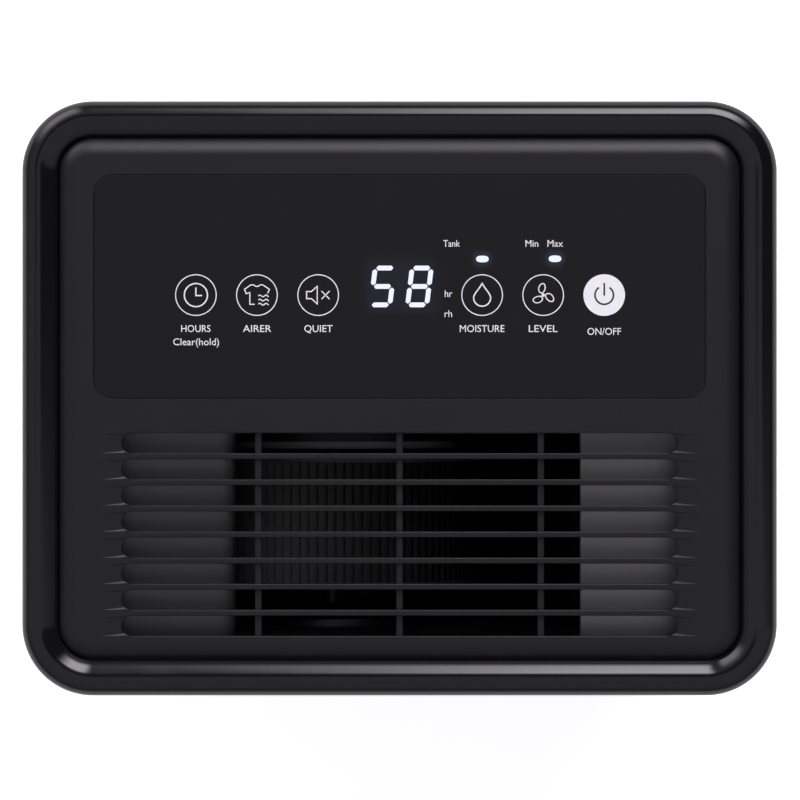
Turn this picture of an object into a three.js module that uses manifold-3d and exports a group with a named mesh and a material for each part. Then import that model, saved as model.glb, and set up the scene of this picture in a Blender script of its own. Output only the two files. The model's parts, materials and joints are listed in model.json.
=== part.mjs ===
// Portable compressor dehumidifier, millimetres, +Z up.
// Origin: on the floor, under the centre of the body. The tank front faces -Y, the air intake +Y.

import * as THREE from "three";
import { mergeVertices } from "three/addons/utils/BufferGeometryUtils.js";
import Module from "manifold-3d";

const wasm = await Module();
wasm.setup();

// ---------------------------------------------------------------- driving dimensions

// Body
const width = 320;
const depth = 252;
const height = 490;
const cornerRadius = 30;
const wall = 2.5;
const seam = 0.4;

// Glossy rim round the top
const rimWidth = 15.4;
const rimHeight = 24;
const rimOuterArc = 7;
const rimInnerArc = 11;
const rimLedgeDepth = 15;
const rimLedgeReach = 3;
const shellInset = 1.2;
const shellLip = 7;

// Top cover with its outlet grille
const coverGap = 0.7;
const coverDrop = 0.9;
const coverEdgeArc = 10;
const coverSkirt = 11;
const coverThickness = 3;
const slotCount = 8;
const slotWidth = 8.58;
const slotPitch = 11.04;
const slotEndMargin = 26.2;
const grilleFrontMargin = 9.4;
const barDepth = 7;
const flareLength = 8.4;
const flareDepth = 1.4;
const grilleRibWidth = 3;
const grilleRibSpacing = 59.8;
const grilleRibDrop = 2.6;

// Control film and the boards under it
const filmSideMargin = 14.3;
const filmRearMargin = 15;
const filmLength = 95.3;
const filmThickness = 1.1;
const filmCorner = 7.5;
const filmGroove = 0.7;
const boardThickness = 1.6;
const boardDepthBelowFilm = 12;
const digitHeight = 18.2;
const digitPitch = 14.5;
const digitRow = 47.3;

// Base and casters
const groundClearance = 34;
const baseFloor = 4;
const baseWallHeight = 26;
const casterWheelRadius = 14;
const casterWheelWidth = 8;
const casterTrail = 9;
const casterWeb = 5;
const casterInsetX = 38;
const casterInsetY = 36;
const stemRadius = 4;
const stemLength = 8;
const casterRecess = 1.2;
const baseRibSpacing = 70;
const runningGap = 0.6;

// Water tank and its bay
const tankWidth = 251;
const tankLift = 6;
const tankSideGap = 1;
const tankRearGap = 3;
const tankWall = 2.2;
const tankCorner = 5.2;
const tankFrontThickness = 2.3;
const tankFrontCorner = 6;
const lidThickness = 3;
const tankTopClearance = 5.4;
const gripSlotWidth = 92;
const gripSlotHeight = 20;
const gripSlotDepth = 20;
const windowWidth = 16;
const windowFoot = 22;
const windowTopGap = 17;
const floatWidth = 40;
const floatLength = 38;
const floatHeight = 20;
const floatReach = 20;
const floatDrop = 8;

// Fan
const fanAxisX = -30.5;
const wheelRadius = 68;
const wheelLength = 59;
const wheelBladeCount = 24;
const wheelBladeDepth = 11;
const wheelBladeThickness = 1.6;
const shaftRadius = 4;
const tongueClearance = 8;
const scrollGrowth = 31.5;
const tongueOffset = 39.5;
const flangeDepth = 18;
const mouthLip = 7;
const ductHeight = 118;
const inletRadius = 55;
const bellmouthLength = 8;
const ringFlange = 6;
const ringThickness = 1.8;
const motorRadius = 39;
const motorLength = 17;
const motorGrooves = 4;

// Coils and cold side
const coilHalfWidth = 106;
const evaporatorThickness = 24;
const condenserThickness = 34;
const coilSpacing = 12;
const finCount = 9;
const finThickness = 1.2;
const tubeRadius = 4.5;
const bendReach = 12;
const tubeRows = 3;
const trayWallHeight = 13;
const troughWidth = 16;
const troughWallHeight = 8;
const troughOffset = 66;
const scrollClearance = 7;
const drainRadius = 7;
const drainInset = 20;

// Air intake at the rear
const intakeWidth = 224;
const intakeTopMargin = 3;
const intakeSillHeight = 9;
const intakeRows = 13;
const intakeSlotHeight = 6.4;
const pivotRadius = 4;
const pivotPinRadius = 1.9;
const pivotPinLength = 5;
const filterThickness = 4;

// Compressor
const compressorRadius = 44;
const compressorHeadroom = 36;
const compressorFootReach = 7;
const compressorRearGap = 18.3;
const compressorX = -48;
const grommetHeight = 12;
const grommetRadius = 10;
const accumulatorRadius = 17;
const accumulatorShare = [0.16, 0.76];
const pipeRadius = 4;
const capillaryRadius = 1.6;

// Side grips
const gripLength = 92;
const gripHeight = 32;
const gripDepth = 20;
const gripDrop = 62;
const gripLead = 4;

// Humidity sensor
const sensorWidth = 18;
const sensorHeight = 26;
const sensorRise = 60;
const sensorReach = 91;

// ---------------------------------------------------------------- places worked out from them

const halfWidth = width / 2;
const halfDepth = depth / 2;
const rimBottom = height - rimHeight;
const coverTop = height - coverDrop;
const coverHalfX = halfWidth - rimWidth - coverGap;
const coverHalfY = halfDepth - rimWidth - coverGap;
const coverCorner = cornerRadius - rimWidth - coverGap;
const slotHalfLength = coverHalfX - slotEndMargin;
const grilleFront = -coverHalfY + grilleFrontMargin;
const grilleRear = grilleFront + (slotCount - 1) * slotPitch + slotWidth;
const grilleX = [-slotHalfLength - 4, slotHalfLength + 4];
const grilleY = [grilleFront - 3.5, grilleRear + 3.5];

const filmX = [-coverHalfX + filmSideMargin, coverHalfX - filmSideMargin];
const filmY = [coverHalfY - filmRearMargin - filmLength, coverHalfY - filmRearMargin];

const shellX = halfWidth - shellInset;
const shellY = halfDepth - shellInset;
const shellCorner = cornerRadius - shellInset;
const innerX = shellX - wall;
const innerY = shellY - wall;

const compressorY = innerY - compressorRearGap - compressorRadius;
const footReach = compressorRadius + compressorFootReach;
const bayWallY = compressorY - footReach - grommetRadius - 6 - wall;
const tankX = [-tankWidth / 2, tankWidth / 2];
const tankY = [-shellY, bayWallY - tankRearGap];
const bucketY = [tankY[0] + tankFrontThickness + seam, tankY[1]];
const partingY = tankY[1] + 0.5;

const flangeTop = height - flangeDepth;
const fanAxisZ = flangeTop - ductHeight;
const ductLeft = fanAxisX - tongueOffset;
const scrollStart = wheelRadius + tongueClearance;
const ductRight = fanAxisX + scrollStart + scrollGrowth;
const ductFront = grilleFront - 0.8;
const bulkheadFront = grilleRear + 0.3;
const scrollRear = bulkheadFront - seam;
const wheelRear = bulkheadFront - bellmouthLength - 2;
const wheelFront = wheelRear - wheelLength;
const ringRadius = inletRadius + bellmouthLength + 1;
const scrollFirstAngle = Math.acos(-tongueOffset / scrollStart);
const scrollShareBelow = (1.5 * Math.PI - scrollFirstAngle) / (2 * Math.PI - scrollFirstAngle);
const scrollBottom = fanAxisZ - scrollStart - scrollGrowth * scrollShareBelow - wall;

const trayFloor = scrollBottom - scrollClearance - troughWallHeight;
const trayBottom = trayFloor - wall;
const bayTop = trayBottom - seam;
const bayCeiling = bayTop - wall;
const baseTop = groundClearance + baseFloor;
const tankBottom = baseTop + tankLift + seam;
const tankTop = bayCeiling - tankTopClearance - lidThickness - seam;
const coilBottom = trayFloor + 2;
const coilTop = flangeTop - 24;
const intakeX = [-intakeWidth / 2, intakeWidth / 2];
const intakeBottom = trayBottom + 2 * drainRadius + intakeSillHeight;
const intakeTop = coilTop - intakeTopMargin;
const pivotY = shellY - pivotRadius;
const pivotZ = intakeBottom + runningGap + pivotRadius;
const evaporatorY = [shellY - 16 - evaporatorThickness, shellY - 16];
const condenserY = [evaporatorY[0] - coilSpacing - condenserThickness, evaporatorY[0] - coilSpacing];
const drainX = coilHalfWidth - drainInset;
const drainZ = trayFloor + drainRadius;
const troughX = [troughOffset - troughWidth / 2, troughOffset + troughWidth / 2];
const troughEndY = (tankY[0] + tankY[1]) / 2;

const gripTop = rimBottom - gripDrop + gripHeight;
const gripCentreY = partingY + gripLead + gripLength / 2;
const gripDishX = shellX - gripDepth;

// ---------------------------------------------------------------- solids

function toSolid(geometry) {
  geometry.deleteAttribute("normal");
  geometry.deleteAttribute("uv");
  const merged = mergeVertices(geometry, 1e-4);
  const solid = new wasm.Manifold(new wasm.Mesh({
    numProp: 3,
    vertProperties: new Float32Array(merged.attributes.position.array),
    triVerts: new Uint32Array(merged.index.array),
  }));
  return solid;
}

function block(x, y, z) {
  const box = new THREE.BoxGeometry(x[1] - x[0], y[1] - y[0], z[1] - z[0]);
  box.translate((x[0] + x[1]) / 2, (y[0] + y[1]) / 2, (z[0] + z[1]) / 2);
  return toSolid(box);
}

function span(centre, size) {
  return [centre - size / 2, centre + size / 2];
}

function roundedShape(u, v, radius) {
  const shape = new THREE.Shape();
  shape.absarc(u[1] - radius, v[0] + radius, radius, -Math.PI / 2, 0);
  shape.absarc(u[1] - radius, v[1] - radius, radius, 0, Math.PI / 2);
  shape.absarc(u[0] + radius, v[1] - radius, radius, Math.PI / 2, Math.PI);
  shape.absarc(u[0] + radius, v[0] + radius, radius, Math.PI, Math.PI * 1.5);
  shape.closePath();
  return shape;
}

// A shape drawn in the two axes that are left, pushed along the named axis from range[0] to range[1].
function prism(shape, axis, range, curveSegments = 2) {
  const extruded = new THREE.ExtrudeGeometry(shape, {
    depth: range[1] - range[0],
    bevelEnabled: false,
    curveSegments,
  });
  if (axis === "z") {
    extruded.translate(0, 0, range[0]);
  }
  if (axis === "y") {
    extruded.rotateX(Math.PI / 2);
    extruded.translate(0, range[1], 0);
  }
  if (axis === "x") {
    const toX = new THREE.Matrix4().makeBasis(
      new THREE.Vector3(0, 1, 0), new THREE.Vector3(0, 0, 1), new THREE.Vector3(1, 0, 0));
    extruded.applyMatrix4(toX);
    extruded.translate(range[0], 0, 0);
  }
  return toSolid(extruded);
}

// A profile of [radius, distance along the axis] pairs, turned about the named axis.
function revolve(profile, axis, centre, segments = 24) {
  const points = profile.map(([radius, along]) => new THREE.Vector2(radius, along));
  let area = 0;
  points.forEach((p, i) => {
    const q = points[(i + 1) % points.length];
    area += p.x * q.y - q.x * p.y;
  });
  if (area < 0) {
    points.reverse();
  }
  const first = points[0];
  const last = points[points.length - 1];
  if (first.x > 0 || last.x > 0) {
    points.push(first.clone());
  }
  const lathe = new THREE.LatheGeometry(points, segments);
  if (axis === "z") {
    lathe.rotateX(Math.PI / 2);
  }
  if (axis === "x") {
    lathe.rotateZ(-Math.PI / 2);
  }
  lathe.translate(centre[0], centre[1], centre[2]);
  return toSolid(lathe);
}

function cylinder(axis, centre, radius, range, segments = 20) {
  const profile = [[0, range[0]], [radius, range[0]], [radius, range[1]], [0, range[1]]];
  return revolve(profile, axis, centre, segments);
}

function pipe(points, radius, sides = 8, steps = 40) {
  const section = new THREE.Shape();
  section.absarc(0, 0, radius, 0, Math.PI * 2);
  const spots = points.map((p) => new THREE.Vector3(...p));
  const curve = new THREE.CatmullRomCurve3(spots, false, "catmullrom", 0.35);
  const swept = new THREE.ExtrudeGeometry(section, {
    steps,
    extrudePath: curve,
    curveSegments: sides / 2,
    bevelEnabled: false,
  });
  return toSolid(swept);
}

// The corner points of a rounded rectangle, always as many whatever its size.
function outline(halfX, halfY, radius, cornerSteps = 6) {
  const r = Math.max(radius, 0.5);
  const points = [];
  [[1, -1], [1, 1], [-1, 1], [-1, -1]].forEach(([sx, sy], corner) => {
    for (let step = 0; step <= cornerSteps; step += 1) {
      const angle = (corner - 1 + step / cornerSteps) * Math.PI / 2;
      points.push([sx * (halfX - r) + r * Math.cos(angle), sy * (halfY - r) + r * Math.sin(angle)]);
    }
  });
  return points;
}

function meshOf(rings, closed) {
  const count = rings[0].length;
  const positions = rings.flat(2);
  const index = [];
  const last = closed ? rings.length : rings.length - 1;
  for (let i = 0; i < last; i += 1) {
    const low = i * count;
    const high = ((i + 1) % rings.length) * count;
    for (let j = 0; j < count; j += 1) {
      const k = (j + 1) % count;
      index.push(low + j, low + k, high + k, low + j, high + k, high + j);
    }
  }
  if (!closed) {
    const top = (rings.length - 1) * count;
    for (let j = 1; j < count - 1; j += 1) {
      index.push(0, j + 1, j);
      index.push(top, top + j, top + j + 1);
    }
  }
  const geometry = new THREE.BufferGeometry();
  geometry.setAttribute("position", new THREE.Float32BufferAttribute(positions, 3));
  geometry.setIndex(index);
  return toSolid(geometry);
}

// A stack of rounded rectangles: each section is [inset from the outline, z], bottom first.
function stack(halfX, halfY, radius, sections, cornerSteps) {
  const rings = sections.map(([inset, z]) =>
    outline(halfX - inset, halfY - inset, radius - inset, cornerSteps).map(([x, y]) => [x, y, z]));
  return meshOf(rings, false);
}

// A closed profile of [inset, z] points carried round a rounded rectangle, the outer side drawn upwards.
function frameLoop(halfX, halfY, radius, profile, cornerSteps) {
  const rings = profile.map(([inset, z]) =>
    outline(halfX - inset, halfY - inset, radius - inset, cornerSteps).map(([x, y]) => [x, y, z]));
  return meshOf(rings, true);
}

function arc(centre, radius, from, to, steps) {
  const points = [];
  for (let step = 0; step <= steps; step += 1) {
    const angle = THREE.MathUtils.degToRad(from + (to - from) * step / steps);
    points.push([centre[0] + radius * Math.cos(angle), centre[1] + radius * Math.sin(angle)]);
  }
  return points;
}

function union(solids) {
  return solids.reduce((whole, solid) => whole.add(solid));
}

function mirroredX(make) {
  return make(-1).add(make(1));
}

// ---------------------------------------------------------------- top of the body

function topRim() {
  const outer = arc([rimOuterArc, height - rimOuterArc], rimOuterArc, 180, 90, 4);
  const fall = THREE.MathUtils.radToDeg(Math.asin((rimWidth - rimOuterArc) / rimInnerArc));
  const inner = arc([rimOuterArc, height - rimInnerArc], rimInnerArc, 90, 90 - fall, 4).slice(1);
  const ledge = height - rimLedgeDepth;
  const profile = [
    [0, rimBottom],
    ...outer,
    ...inner,
    [rimWidth, ledge],
    [rimWidth + rimLedgeReach, ledge],
    [rimWidth + rimLedgeReach, ledge - wall],
    [rimWidth - wall, ledge - wall],
    [rimWidth - wall, height - rimOuterArc - wall],
    [wall, height - rimOuterArc - wall],
    [wall, rimBottom],
  ];
  return frameLoop(halfWidth, halfDepth, cornerRadius, profile, 6);
}

function slotCentres() {
  const first = grilleFront + slotWidth / 2;
  return Array.from({ length: slotCount }, (_, i) => first + i * slotPitch);
}

// The scoop that runs each slot out into the cover: deepest at the slot, nothing at its far end,
// with an upright rear side and a front side that slopes back.
function slotFlare(side, y) {
  const front = y - slotWidth / 2;
  const rear = y + slotWidth / 2;
  const section = (x, drop) => [
    [side * x, front, coverTop + 1],
    [side * x, front, coverTop],
    [side * x, front + drop, coverTop - drop],
    [side * x, rear, coverTop - drop],
    [side * x, rear, coverTop + 1],
  ];
  const near = section(slotHalfLength - slotWidth / 2, flareDepth);
  const far = section(slotHalfLength + flareLength, 0.02);
  return meshOf(side > 0 ? [near, far] : [far, near], false);
}

function topCover() {
  const edge = arc([coverEdgeArc, coverTop - coverEdgeArc], coverEdgeArc, 135, 90, 3);
  const inset = edge[0][0];
  const sections = [[0, coverTop - coverSkirt], ...edge.map(([x, z]) => [x - inset, z])];
  const shell = stack(coverHalfX, coverHalfY, coverCorner, sections, 5);
  const hollow = stack(coverHalfX - wall - 0.7, coverHalfY - wall - 0.7, coverCorner - wall, [
    [0, coverTop - coverSkirt - 1],
    [0, coverTop - coverThickness],
  ], 4);
  const grilleBlock = block(grilleX, grilleY, [coverTop - barDepth, coverTop - coverThickness + 0.5]);
  let cover = shell.subtract(hollow).add(grilleBlock);
  slotCentres().forEach((y) => {
    const slot = roundedShape([-slotHalfLength, slotHalfLength], span(y, slotWidth), slotWidth / 2 - 0.01);
    cover = cover.subtract(prism(slot, "z", [coverTop - barDepth - 1, coverTop + 1], 1));
    cover = cover.subtract(slotFlare(1, y)).subtract(slotFlare(-1, y));
  });
  const ribZ = [coverTop - barDepth, coverTop - grilleRibDrop];
  const ribs = [-grilleRibSpacing, 0, grilleRibSpacing].map((x) =>
    block(span(x, grilleRibWidth), [grilleFront - 1, grilleRear + 1], ribZ));
  cover = cover.add(union(ribs));
  const recess = prism(
    roundedShape(
      [filmX[0] - filmGroove, filmX[1] + filmGroove],
      [filmY[0] - filmGroove, filmY[1] + filmGroove],
      filmCorner + filmGroove),
    "z", [coverTop - filmThickness - seam, coverTop + 1], 3);
  const digitWindow = block(
    span(0, 2 * digitPitch + 6), span(digitRow, digitHeight + 6), [coverTop - coverThickness - 1, coverTop]);
  return cover.subtract(recess).subtract(digitWindow);
}

function controlFilm() {
  return prism(roundedShape(filmX, filmY, filmCorner), "z", [coverTop - filmThickness, coverTop], 3);
}

const boardTop = coverTop - boardDepthBelowFilm;

function displayBoard() {
  const x = [filmX[0] + 8, filmX[1] - 8];
  const y = [filmY[0] + 6, filmY[1] - 6];
  const board = prism(roundedShape(x, y, 3), "z", [boardTop - boardThickness, boardTop], 1);
  const holes = [x[0] + 5, x[1] - 5].flatMap((hx) => [y[0] + 5, y[1] - 5].map((hy) =>
    cylinder("z", [hx, hy, 0], 1.7, [boardTop - boardThickness - 1, boardTop + 1], 10)));
  const connector = block(
    span(x[0] + 30, 22), span(y[0] + 12, 6), [boardTop - boardThickness - 6, boardTop - 1]);
  return board.subtract(union(holes)).add(connector);
}

function digitDisplay() {
  const z = [boardTop + seam, coverTop - filmThickness - 2 * seam];
  const body = block(span(0, 2 * digitPitch + 4), span(digitRow, digitHeight + 4), z);
  const pocket = block([-0.8, 0.8], span(digitRow, digitHeight + 6), [z[1] - 1, z[1] + 1]);
  return body.subtract(pocket);
}

// ---------------------------------------------------------------- body shells

function shellLoop() {
  const lipTop = rimBottom + shellLip;
  const profile = [
    [0, groundClearance],
    [0, rimBottom - seam],
    [wall + seam - shellInset, rimBottom - seam],
    [wall + seam - shellInset, lipTop],
    [wall + 1.6, lipTop],
    [wall + 1.6, rimBottom - 6],
    [wall, rimBottom - 8],
    [wall, groundClearance],
  ];
  return frameLoop(shellX, shellY, shellCorner, profile, 5);
}

const farX = [-width, width];
const farZ = [0, 2 * height];

function frontShell() {
  const half = shellLoop().intersect(block(farX, [-depth, partingY - seam / 2], farZ));
  const bayHole = block(
    [tankX[0] - tankSideGap, tankX[1] + tankSideGap],
    [-depth, -shellY + wall + 4],
    [groundClearance - 1, tankTop + lidThickness + tankSideGap]);
  return half.subtract(bayHole);
}

function gripCup(side, grow) {
  const y = [gripCentreY - gripLength / 2 - grow, gripCentreY + gripLength / 2 + grow];
  const z = [gripTop - gripHeight - grow, gripTop + grow];
  const solid = prism(
    roundedShape(y, z, 8 + grow), "x", [gripDishX - grow, shellX + (grow > 0 ? 0 : 1)]);
  return side > 0 ? solid : solid.mirror([1, 0, 0]);
}

function grip(side) {
  return gripCup(side, wall).subtract(gripCup(side, 0));
}

function rearShell() {
  let half = shellLoop().intersect(block(farX, [partingY + seam / 2, depth], farZ));
  const opening = block(intakeX, [shellY - 20, depth], [intakeBottom, intakeTop]);
  const lugs = mirroredX((side) => block(
    side > 0 ? [intakeX[1] + 0.8, intakeX[1] + 8] : [intakeX[0] - 8, intakeX[0] - 0.8],
    [pivotY - 6, innerY + 1],
    span(pivotZ, 14)));
  const pinBore = cylinder(
    "x", [0, pivotY, pivotZ], pivotPinRadius + runningGap, [-halfWidth + 35, halfWidth - 35], 12);
  const latchSill = block(span(0, 40), [innerY - 3, innerY + 1], [intakeTop + 3, intakeTop + 6]);
  half = half.add(lugs).add(latchSill).subtract(opening).subtract(pinBore);
  const gripHole = gripCup(1, wall + seam).add(gripCup(-1, wall + seam));
  const drainHole = cylinder("y", [drainX, 0, drainZ], drainRadius + 5, [innerY - 5, depth], 20);
  const glandHole = cylinder("y", [glandX, 0, glandZ], glandRadius + seam, [innerY - 5, depth], 16);
  return half.subtract(gripHole).subtract(drainHole).subtract(glandHole);
}

const glandX = innerX - 44;
const glandZ = groundClearance + 40;
const glandRadius = 8;

function cordGland() {
  const profile = [
    [3.6, innerY - 14],
    [glandRadius - 2, innerY - 14],
    [glandRadius - 0.5, innerY - seam],
    [glandRadius, innerY - seam],
    [glandRadius, shellY + seam],
    [glandRadius + 3, shellY + seam],
    [glandRadius + 2.2, halfDepth - 0.1],
    [3.6, halfDepth - 0.1],
  ];
  return revolve(profile, "y", [glandX, 0, glandZ], 14);
}

// ---------------------------------------------------------------- base and casters

const casterSpots = [
  ["front_left", -1, -1],
  ["front_right", 1, -1],
  ["rear_left", -1, 1],
  ["rear_right", 1, 1],
].map(([place, sx, sy]) => (
  { place, x: sx * (halfWidth - casterInsetX), y: sy * (halfDepth - casterInsetY) }
));

const casterSwing = 1 + Math.hypot(
  casterTrail + casterWheelRadius, casterWeb / 2 + runningGap + casterWheelWidth);

const panX = innerX - seam;
const panY = innerY - seam;
const panTop = groundClearance + baseWallHeight;
const compressorFeet = [30, 150, 270].map((angle) => {
  const turn = THREE.MathUtils.degToRad(angle);
  return [compressorX + footReach * Math.cos(turn), compressorY + footReach * Math.sin(turn)];
});

function basePan() {
  const corner = shellCorner - wall - seam;
  const levels = [[1.5, groundClearance], [0, groundClearance + 1.5], [0, panTop]];
  const outer = stack(panX, panY, corner, levels, 3);
  const inner = stack(panX - wall, panY - wall, corner - wall, [[0, baseTop], [0, panTop + 1]], 3);
  let pan = outer.subtract(inner);
  const rails = mirroredX((side) => block(
    span(side * tankX[1] * 0.55, 10), [tankY[0] + 12, bayWallY - 4], [baseTop - 1, baseTop + tankLift]));
  const bosses = compressorFeet.map(([x, y]) => cylinder("z", [x, y, 0], 11, [baseTop - 1, baseTop + 3], 10));
  const sockets = casterSpots.map(({ x, y }) =>
    cylinder("z", [x, y, 0], stemRadius + 4, [baseTop - 1, groundClearance + stemLength + 2], 12));
  const bores = casterSpots.map(({ x, y }) =>
    cylinder("z", [x, y, 0], stemRadius + seam, [groundClearance - 1, groundClearance + stemLength], 12));
  const mouth = block(
    [tankX[0] - tankSideGap, tankX[1] + tankSideGap],
    [-panY - 1, -panY + wall + 1.5],
    [baseTop + tankLift, panTop + 1]);
  const ribs = [-1, 0, 1].map((i) => block(
    span(i * baseRibSpacing, 2), [bayWallY + 4, panY - 4], [baseTop - 1, baseTop + 2]));
  const recesses = casterSpots.map(({ x, y }) =>
    cylinder("z", [x, y, 0], casterSwing, [groundClearance - 1, groundClearance + casterRecess], 24));
  pan = pan.add(rails).add(union(bosses)).add(union(sockets)).add(union(ribs));
  return pan.subtract(union(bores)).subtract(union(recesses)).subtract(mouth);
}

function casterHood(x, y) {
  const hoodRadius = casterWheelRadius - 1;
  const axle = [y + casterTrail, casterWheelRadius];
  const top = groundClearance + casterRecess - 2 * runningGap;
  const cheek = new THREE.Shape();
  cheek.absarc(axle[0], axle[1], 6, Math.PI, Math.PI * 2);
  cheek.lineTo(axle[0] + 6, top - 3);
  cheek.lineTo(y - 7, top - 3);
  cheek.lineTo(y - 7, top - 8);
  cheek.closePath();
  const web = prism(cheek, "x", span(x, casterWeb), 2);
  const plate = cylinder("z", [x, y, 0], hoodRadius - 2, [top - 3, top], 12);
  const stem = cylinder("z", [x, y, 0], stemRadius, [top - 1, groundClearance + stemLength - seam], 12);
  const bore = cylinder("x", [0, axle[0], axle[1]], 2.6, [x - casterWeb, x + casterWeb], 8);
  return web.add(plate).add(stem).subtract(bore);
}

function casterWheels(x, y) {
  const axle = [y + casterTrail, casterWheelRadius];
  const half = casterWeb / 2 + runningGap;
  const edge = 1.6;
  const twin = (side) => {
    const inner = side * half;
    const outer = side * (half + casterWheelWidth);
    const profile = [
      [0, inner],
      [casterWheelRadius, inner],
      [casterWheelRadius, outer - side * edge],
      [casterWheelRadius - edge, outer],
      [0, outer],
    ];
    return revolve(profile, "x", [x, axle[0], axle[1]], 14);
  };
  const pin = cylinder("x", [x, axle[0], axle[1]], 2, [-half - 1, half + 1], 8);
  return twin(-1).add(twin(1)).add(pin);
}

// ---------------------------------------------------------------- water tank

const gripSlotZ = [tankTop - 3 - gripSlotHeight, tankTop - 3];
const windowX = [tankX[0] + 22, tankX[0] + 22 + windowWidth];
const windowZ = [tankBottom + windowFoot, gripSlotZ[0] - windowTopGap];

// The finger pocket, grown outwards for its wall, from the given depth behind the front face.
function gripPocket(grow, start) {
  const mouth = roundedShape(
    span(0, gripSlotWidth + 2 * grow), [gripSlotZ[0] - grow, gripSlotZ[1] + grow], gripSlotHeight / 2 - 1);
  return prism(mouth, "y", [tankY[0] + start, tankY[0] + gripSlotDepth + grow], 3);
}

function tankFront() {
  const y = [tankY[0], tankY[0] + tankFrontThickness];
  const z = [tankBottom, tankTop + seam + lidThickness];
  const plate = prism(roundedShape(tankX, z, tankFrontCorner), "y", y, 3);
  const windowHole = block(windowX, [y[0] - 1, y[1] + 1], windowZ);
  return plate.add(gripPocket(tankWall, 1)).subtract(gripPocket(0, -1)).subtract(windowHole);
}

function bucketSolid(grow, z) {
  const shape = roundedShape(
    [tankX[0] - grow, tankX[1] + grow], [bucketY[0] - grow, bucketY[1] + grow], tankCorner + grow);
  return prism(shape, "z", z);
}

// The bucket behind the front panel, with its front wall cut away round the finger pocket.
function waterTank() {
  const shell = bucketSolid(0, [tankBottom, tankTop]);
  const inside = bucketSolid(-tankWall, [tankBottom + tankWall, tankTop + 1]);
  const notch = block(
    span(0, gripSlotWidth + 2 * (tankWall + 1)),
    [bucketY[0] - 1, bucketY[0] + tankWall + 1],
    [gripSlotZ[0] - tankWall - 1, tankTop + 1]);
  return shell.subtract(inside).subtract(notch);
}

function levelWindow() {
  const x = [windowX[0] + 0.3, windowX[1] - 0.3];
  const z = [windowZ[0] + 0.3, windowZ[1] - 0.3];
  return prism(roundedShape(x, z, 2), "y", [tankY[0] + 0.3, tankY[0] + tankFrontThickness], 3);
}

const floatPivot = { x: tankX[1] - 40, y: tankY[1] - 16, z: tankTop - 12 };
const floatGap = 10;

function tankLid() {
  const z = [tankTop + seam, tankTop + seam + lidThickness];
  const plate = bucketSolid(0, z);
  const inset = tankWall + seam;
  const skirtHollow = bucketSolid(-inset - 1.8, [tankTop - 6, z[0] + 0.5]);
  const skirt = bucketSolid(-inset, [tankTop - 5, z[0] + 1]).subtract(skirtHollow);
  const cupGap = block(
    span(0, gripSlotWidth + 14), [tankY[0] - 1, tankY[0] + gripSlotDepth + 8], [tankTop - 7, z[0]]);
  const funnelX = (troughX[0] + troughX[1]) / 2;
  const funnel = prism(
    roundedShape(span(funnelX, 34), span(troughEndY, 34), 8), "z", [z[0] - 1, z[1] + 1], 1);
  const spoutShape = roundedShape(span(tankX[0] + 40, 44), span((tankY[0] + tankY[1]) / 2, 24), 8);
  const pourSpout = prism(spoutShape, "z", [z[0] - 1, z[1] + 1], 1);
  const lugZ = [floatPivot.z - 5, z[0] + 0.5];
  const lugAt = (side) => block(
    span(floatPivot.x + side * (floatGap / 2 + 2), 2.4), span(floatPivot.y, 9), lugZ);
  const pinBore = cylinder(
    "x", [floatPivot.x, floatPivot.y, floatPivot.z], 2.2, [-floatGap, floatGap], 10);
  const lugs = lugAt(-1).add(lugAt(1)).subtract(pinBore);
  return plate.add(skirt.subtract(cupGap)).add(lugs).subtract(funnel).subtract(pourSpout);
}

const floatY = [floatPivot.y - floatReach - floatLength, floatPivot.y - floatReach];

function floatArm() {
  const top = floatPivot.z - floatDrop;
  const body = prism(
    roundedShape(span(floatPivot.x, floatWidth), floatY, 8), "z", [top - floatHeight, top]);
  const arm = block(span(floatPivot.x, 6), [floatY[1] - 6, floatPivot.y], [top - 4, top]);
  const rise = block(
    span(floatPivot.x, 6), [floatPivot.y - 3, floatPivot.y + 3], [floatPivot.z - 12, floatPivot.z]);
  const pin = cylinder(
    "x", [floatPivot.x, floatPivot.y, floatPivot.z], 1.6, [-floatGap / 2 - 3, floatGap / 2 + 3], 10);
  const eye = cylinder("x", [floatPivot.x, floatPivot.y, floatPivot.z], 3.4, [-3, 3], 12);
  const magnetHole = block(
    span(floatPivot.x, 8), [floatPivot.y + 2.4, floatPivot.y + 4], [floatPivot.z - 12, floatPivot.z - 5]);
  return body.add(arm).add(rise).add(pin).add(eye).subtract(magnetHole);
}

function floatMagnet() {
  return block(
    span(floatPivot.x, 6),
    [floatPivot.y + 2.4 + seam, floatPivot.y + 6],
    [floatPivot.z - 11.5, floatPivot.z - 5.5]);
}

function tankBay() {
  const x = [-innerX + 8, innerX - 8];
  const rear = block(x, [bayWallY, bayWallY + wall], [baseTop + seam, bayTop]);
  const ceiling = block(x, [tankY[0] + 12, bayWallY + 1], [bayCeiling, bayTop]);
  const guides = mirroredX((side) => block(
    side > 0 ? [tankX[1] + 2, tankX[1] + 2 + wall] : [tankX[0] - 2 - wall, tankX[0] - 2],
    [tankY[0] + 12, bayWallY + 1],
    [baseTop + baseWallHeight, bayCeiling + 1]));
  const nozzleHole = block(
    [troughX[0] - 1, troughX[1] + 1], span(troughEndY, troughWidth + 2), [bayCeiling - 1, bayTop + 1]);
  const sensorSeat = block(
    span(floatPivot.x, 24), [bayWallY + wall - 0.5, bayWallY + wall + 3], span(floatPivot.z - 8, 18));
  return rear.add(ceiling).add(guides).add(sensorSeat).subtract(nozzleHole);
}

function floatSensor() {
  const y0 = bayWallY + wall + 3 + seam;
  const face = roundedShape(span(floatPivot.x, 20), span(floatPivot.z - 8, 12), 2);
  const body = prism(face, "y", [y0, y0 + 7], 1);
  const plug = block(span(floatPivot.x, 8), [y0 + 6, y0 + 12], span(floatPivot.z - 8, 5));
  return body.add(plug);
}

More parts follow.
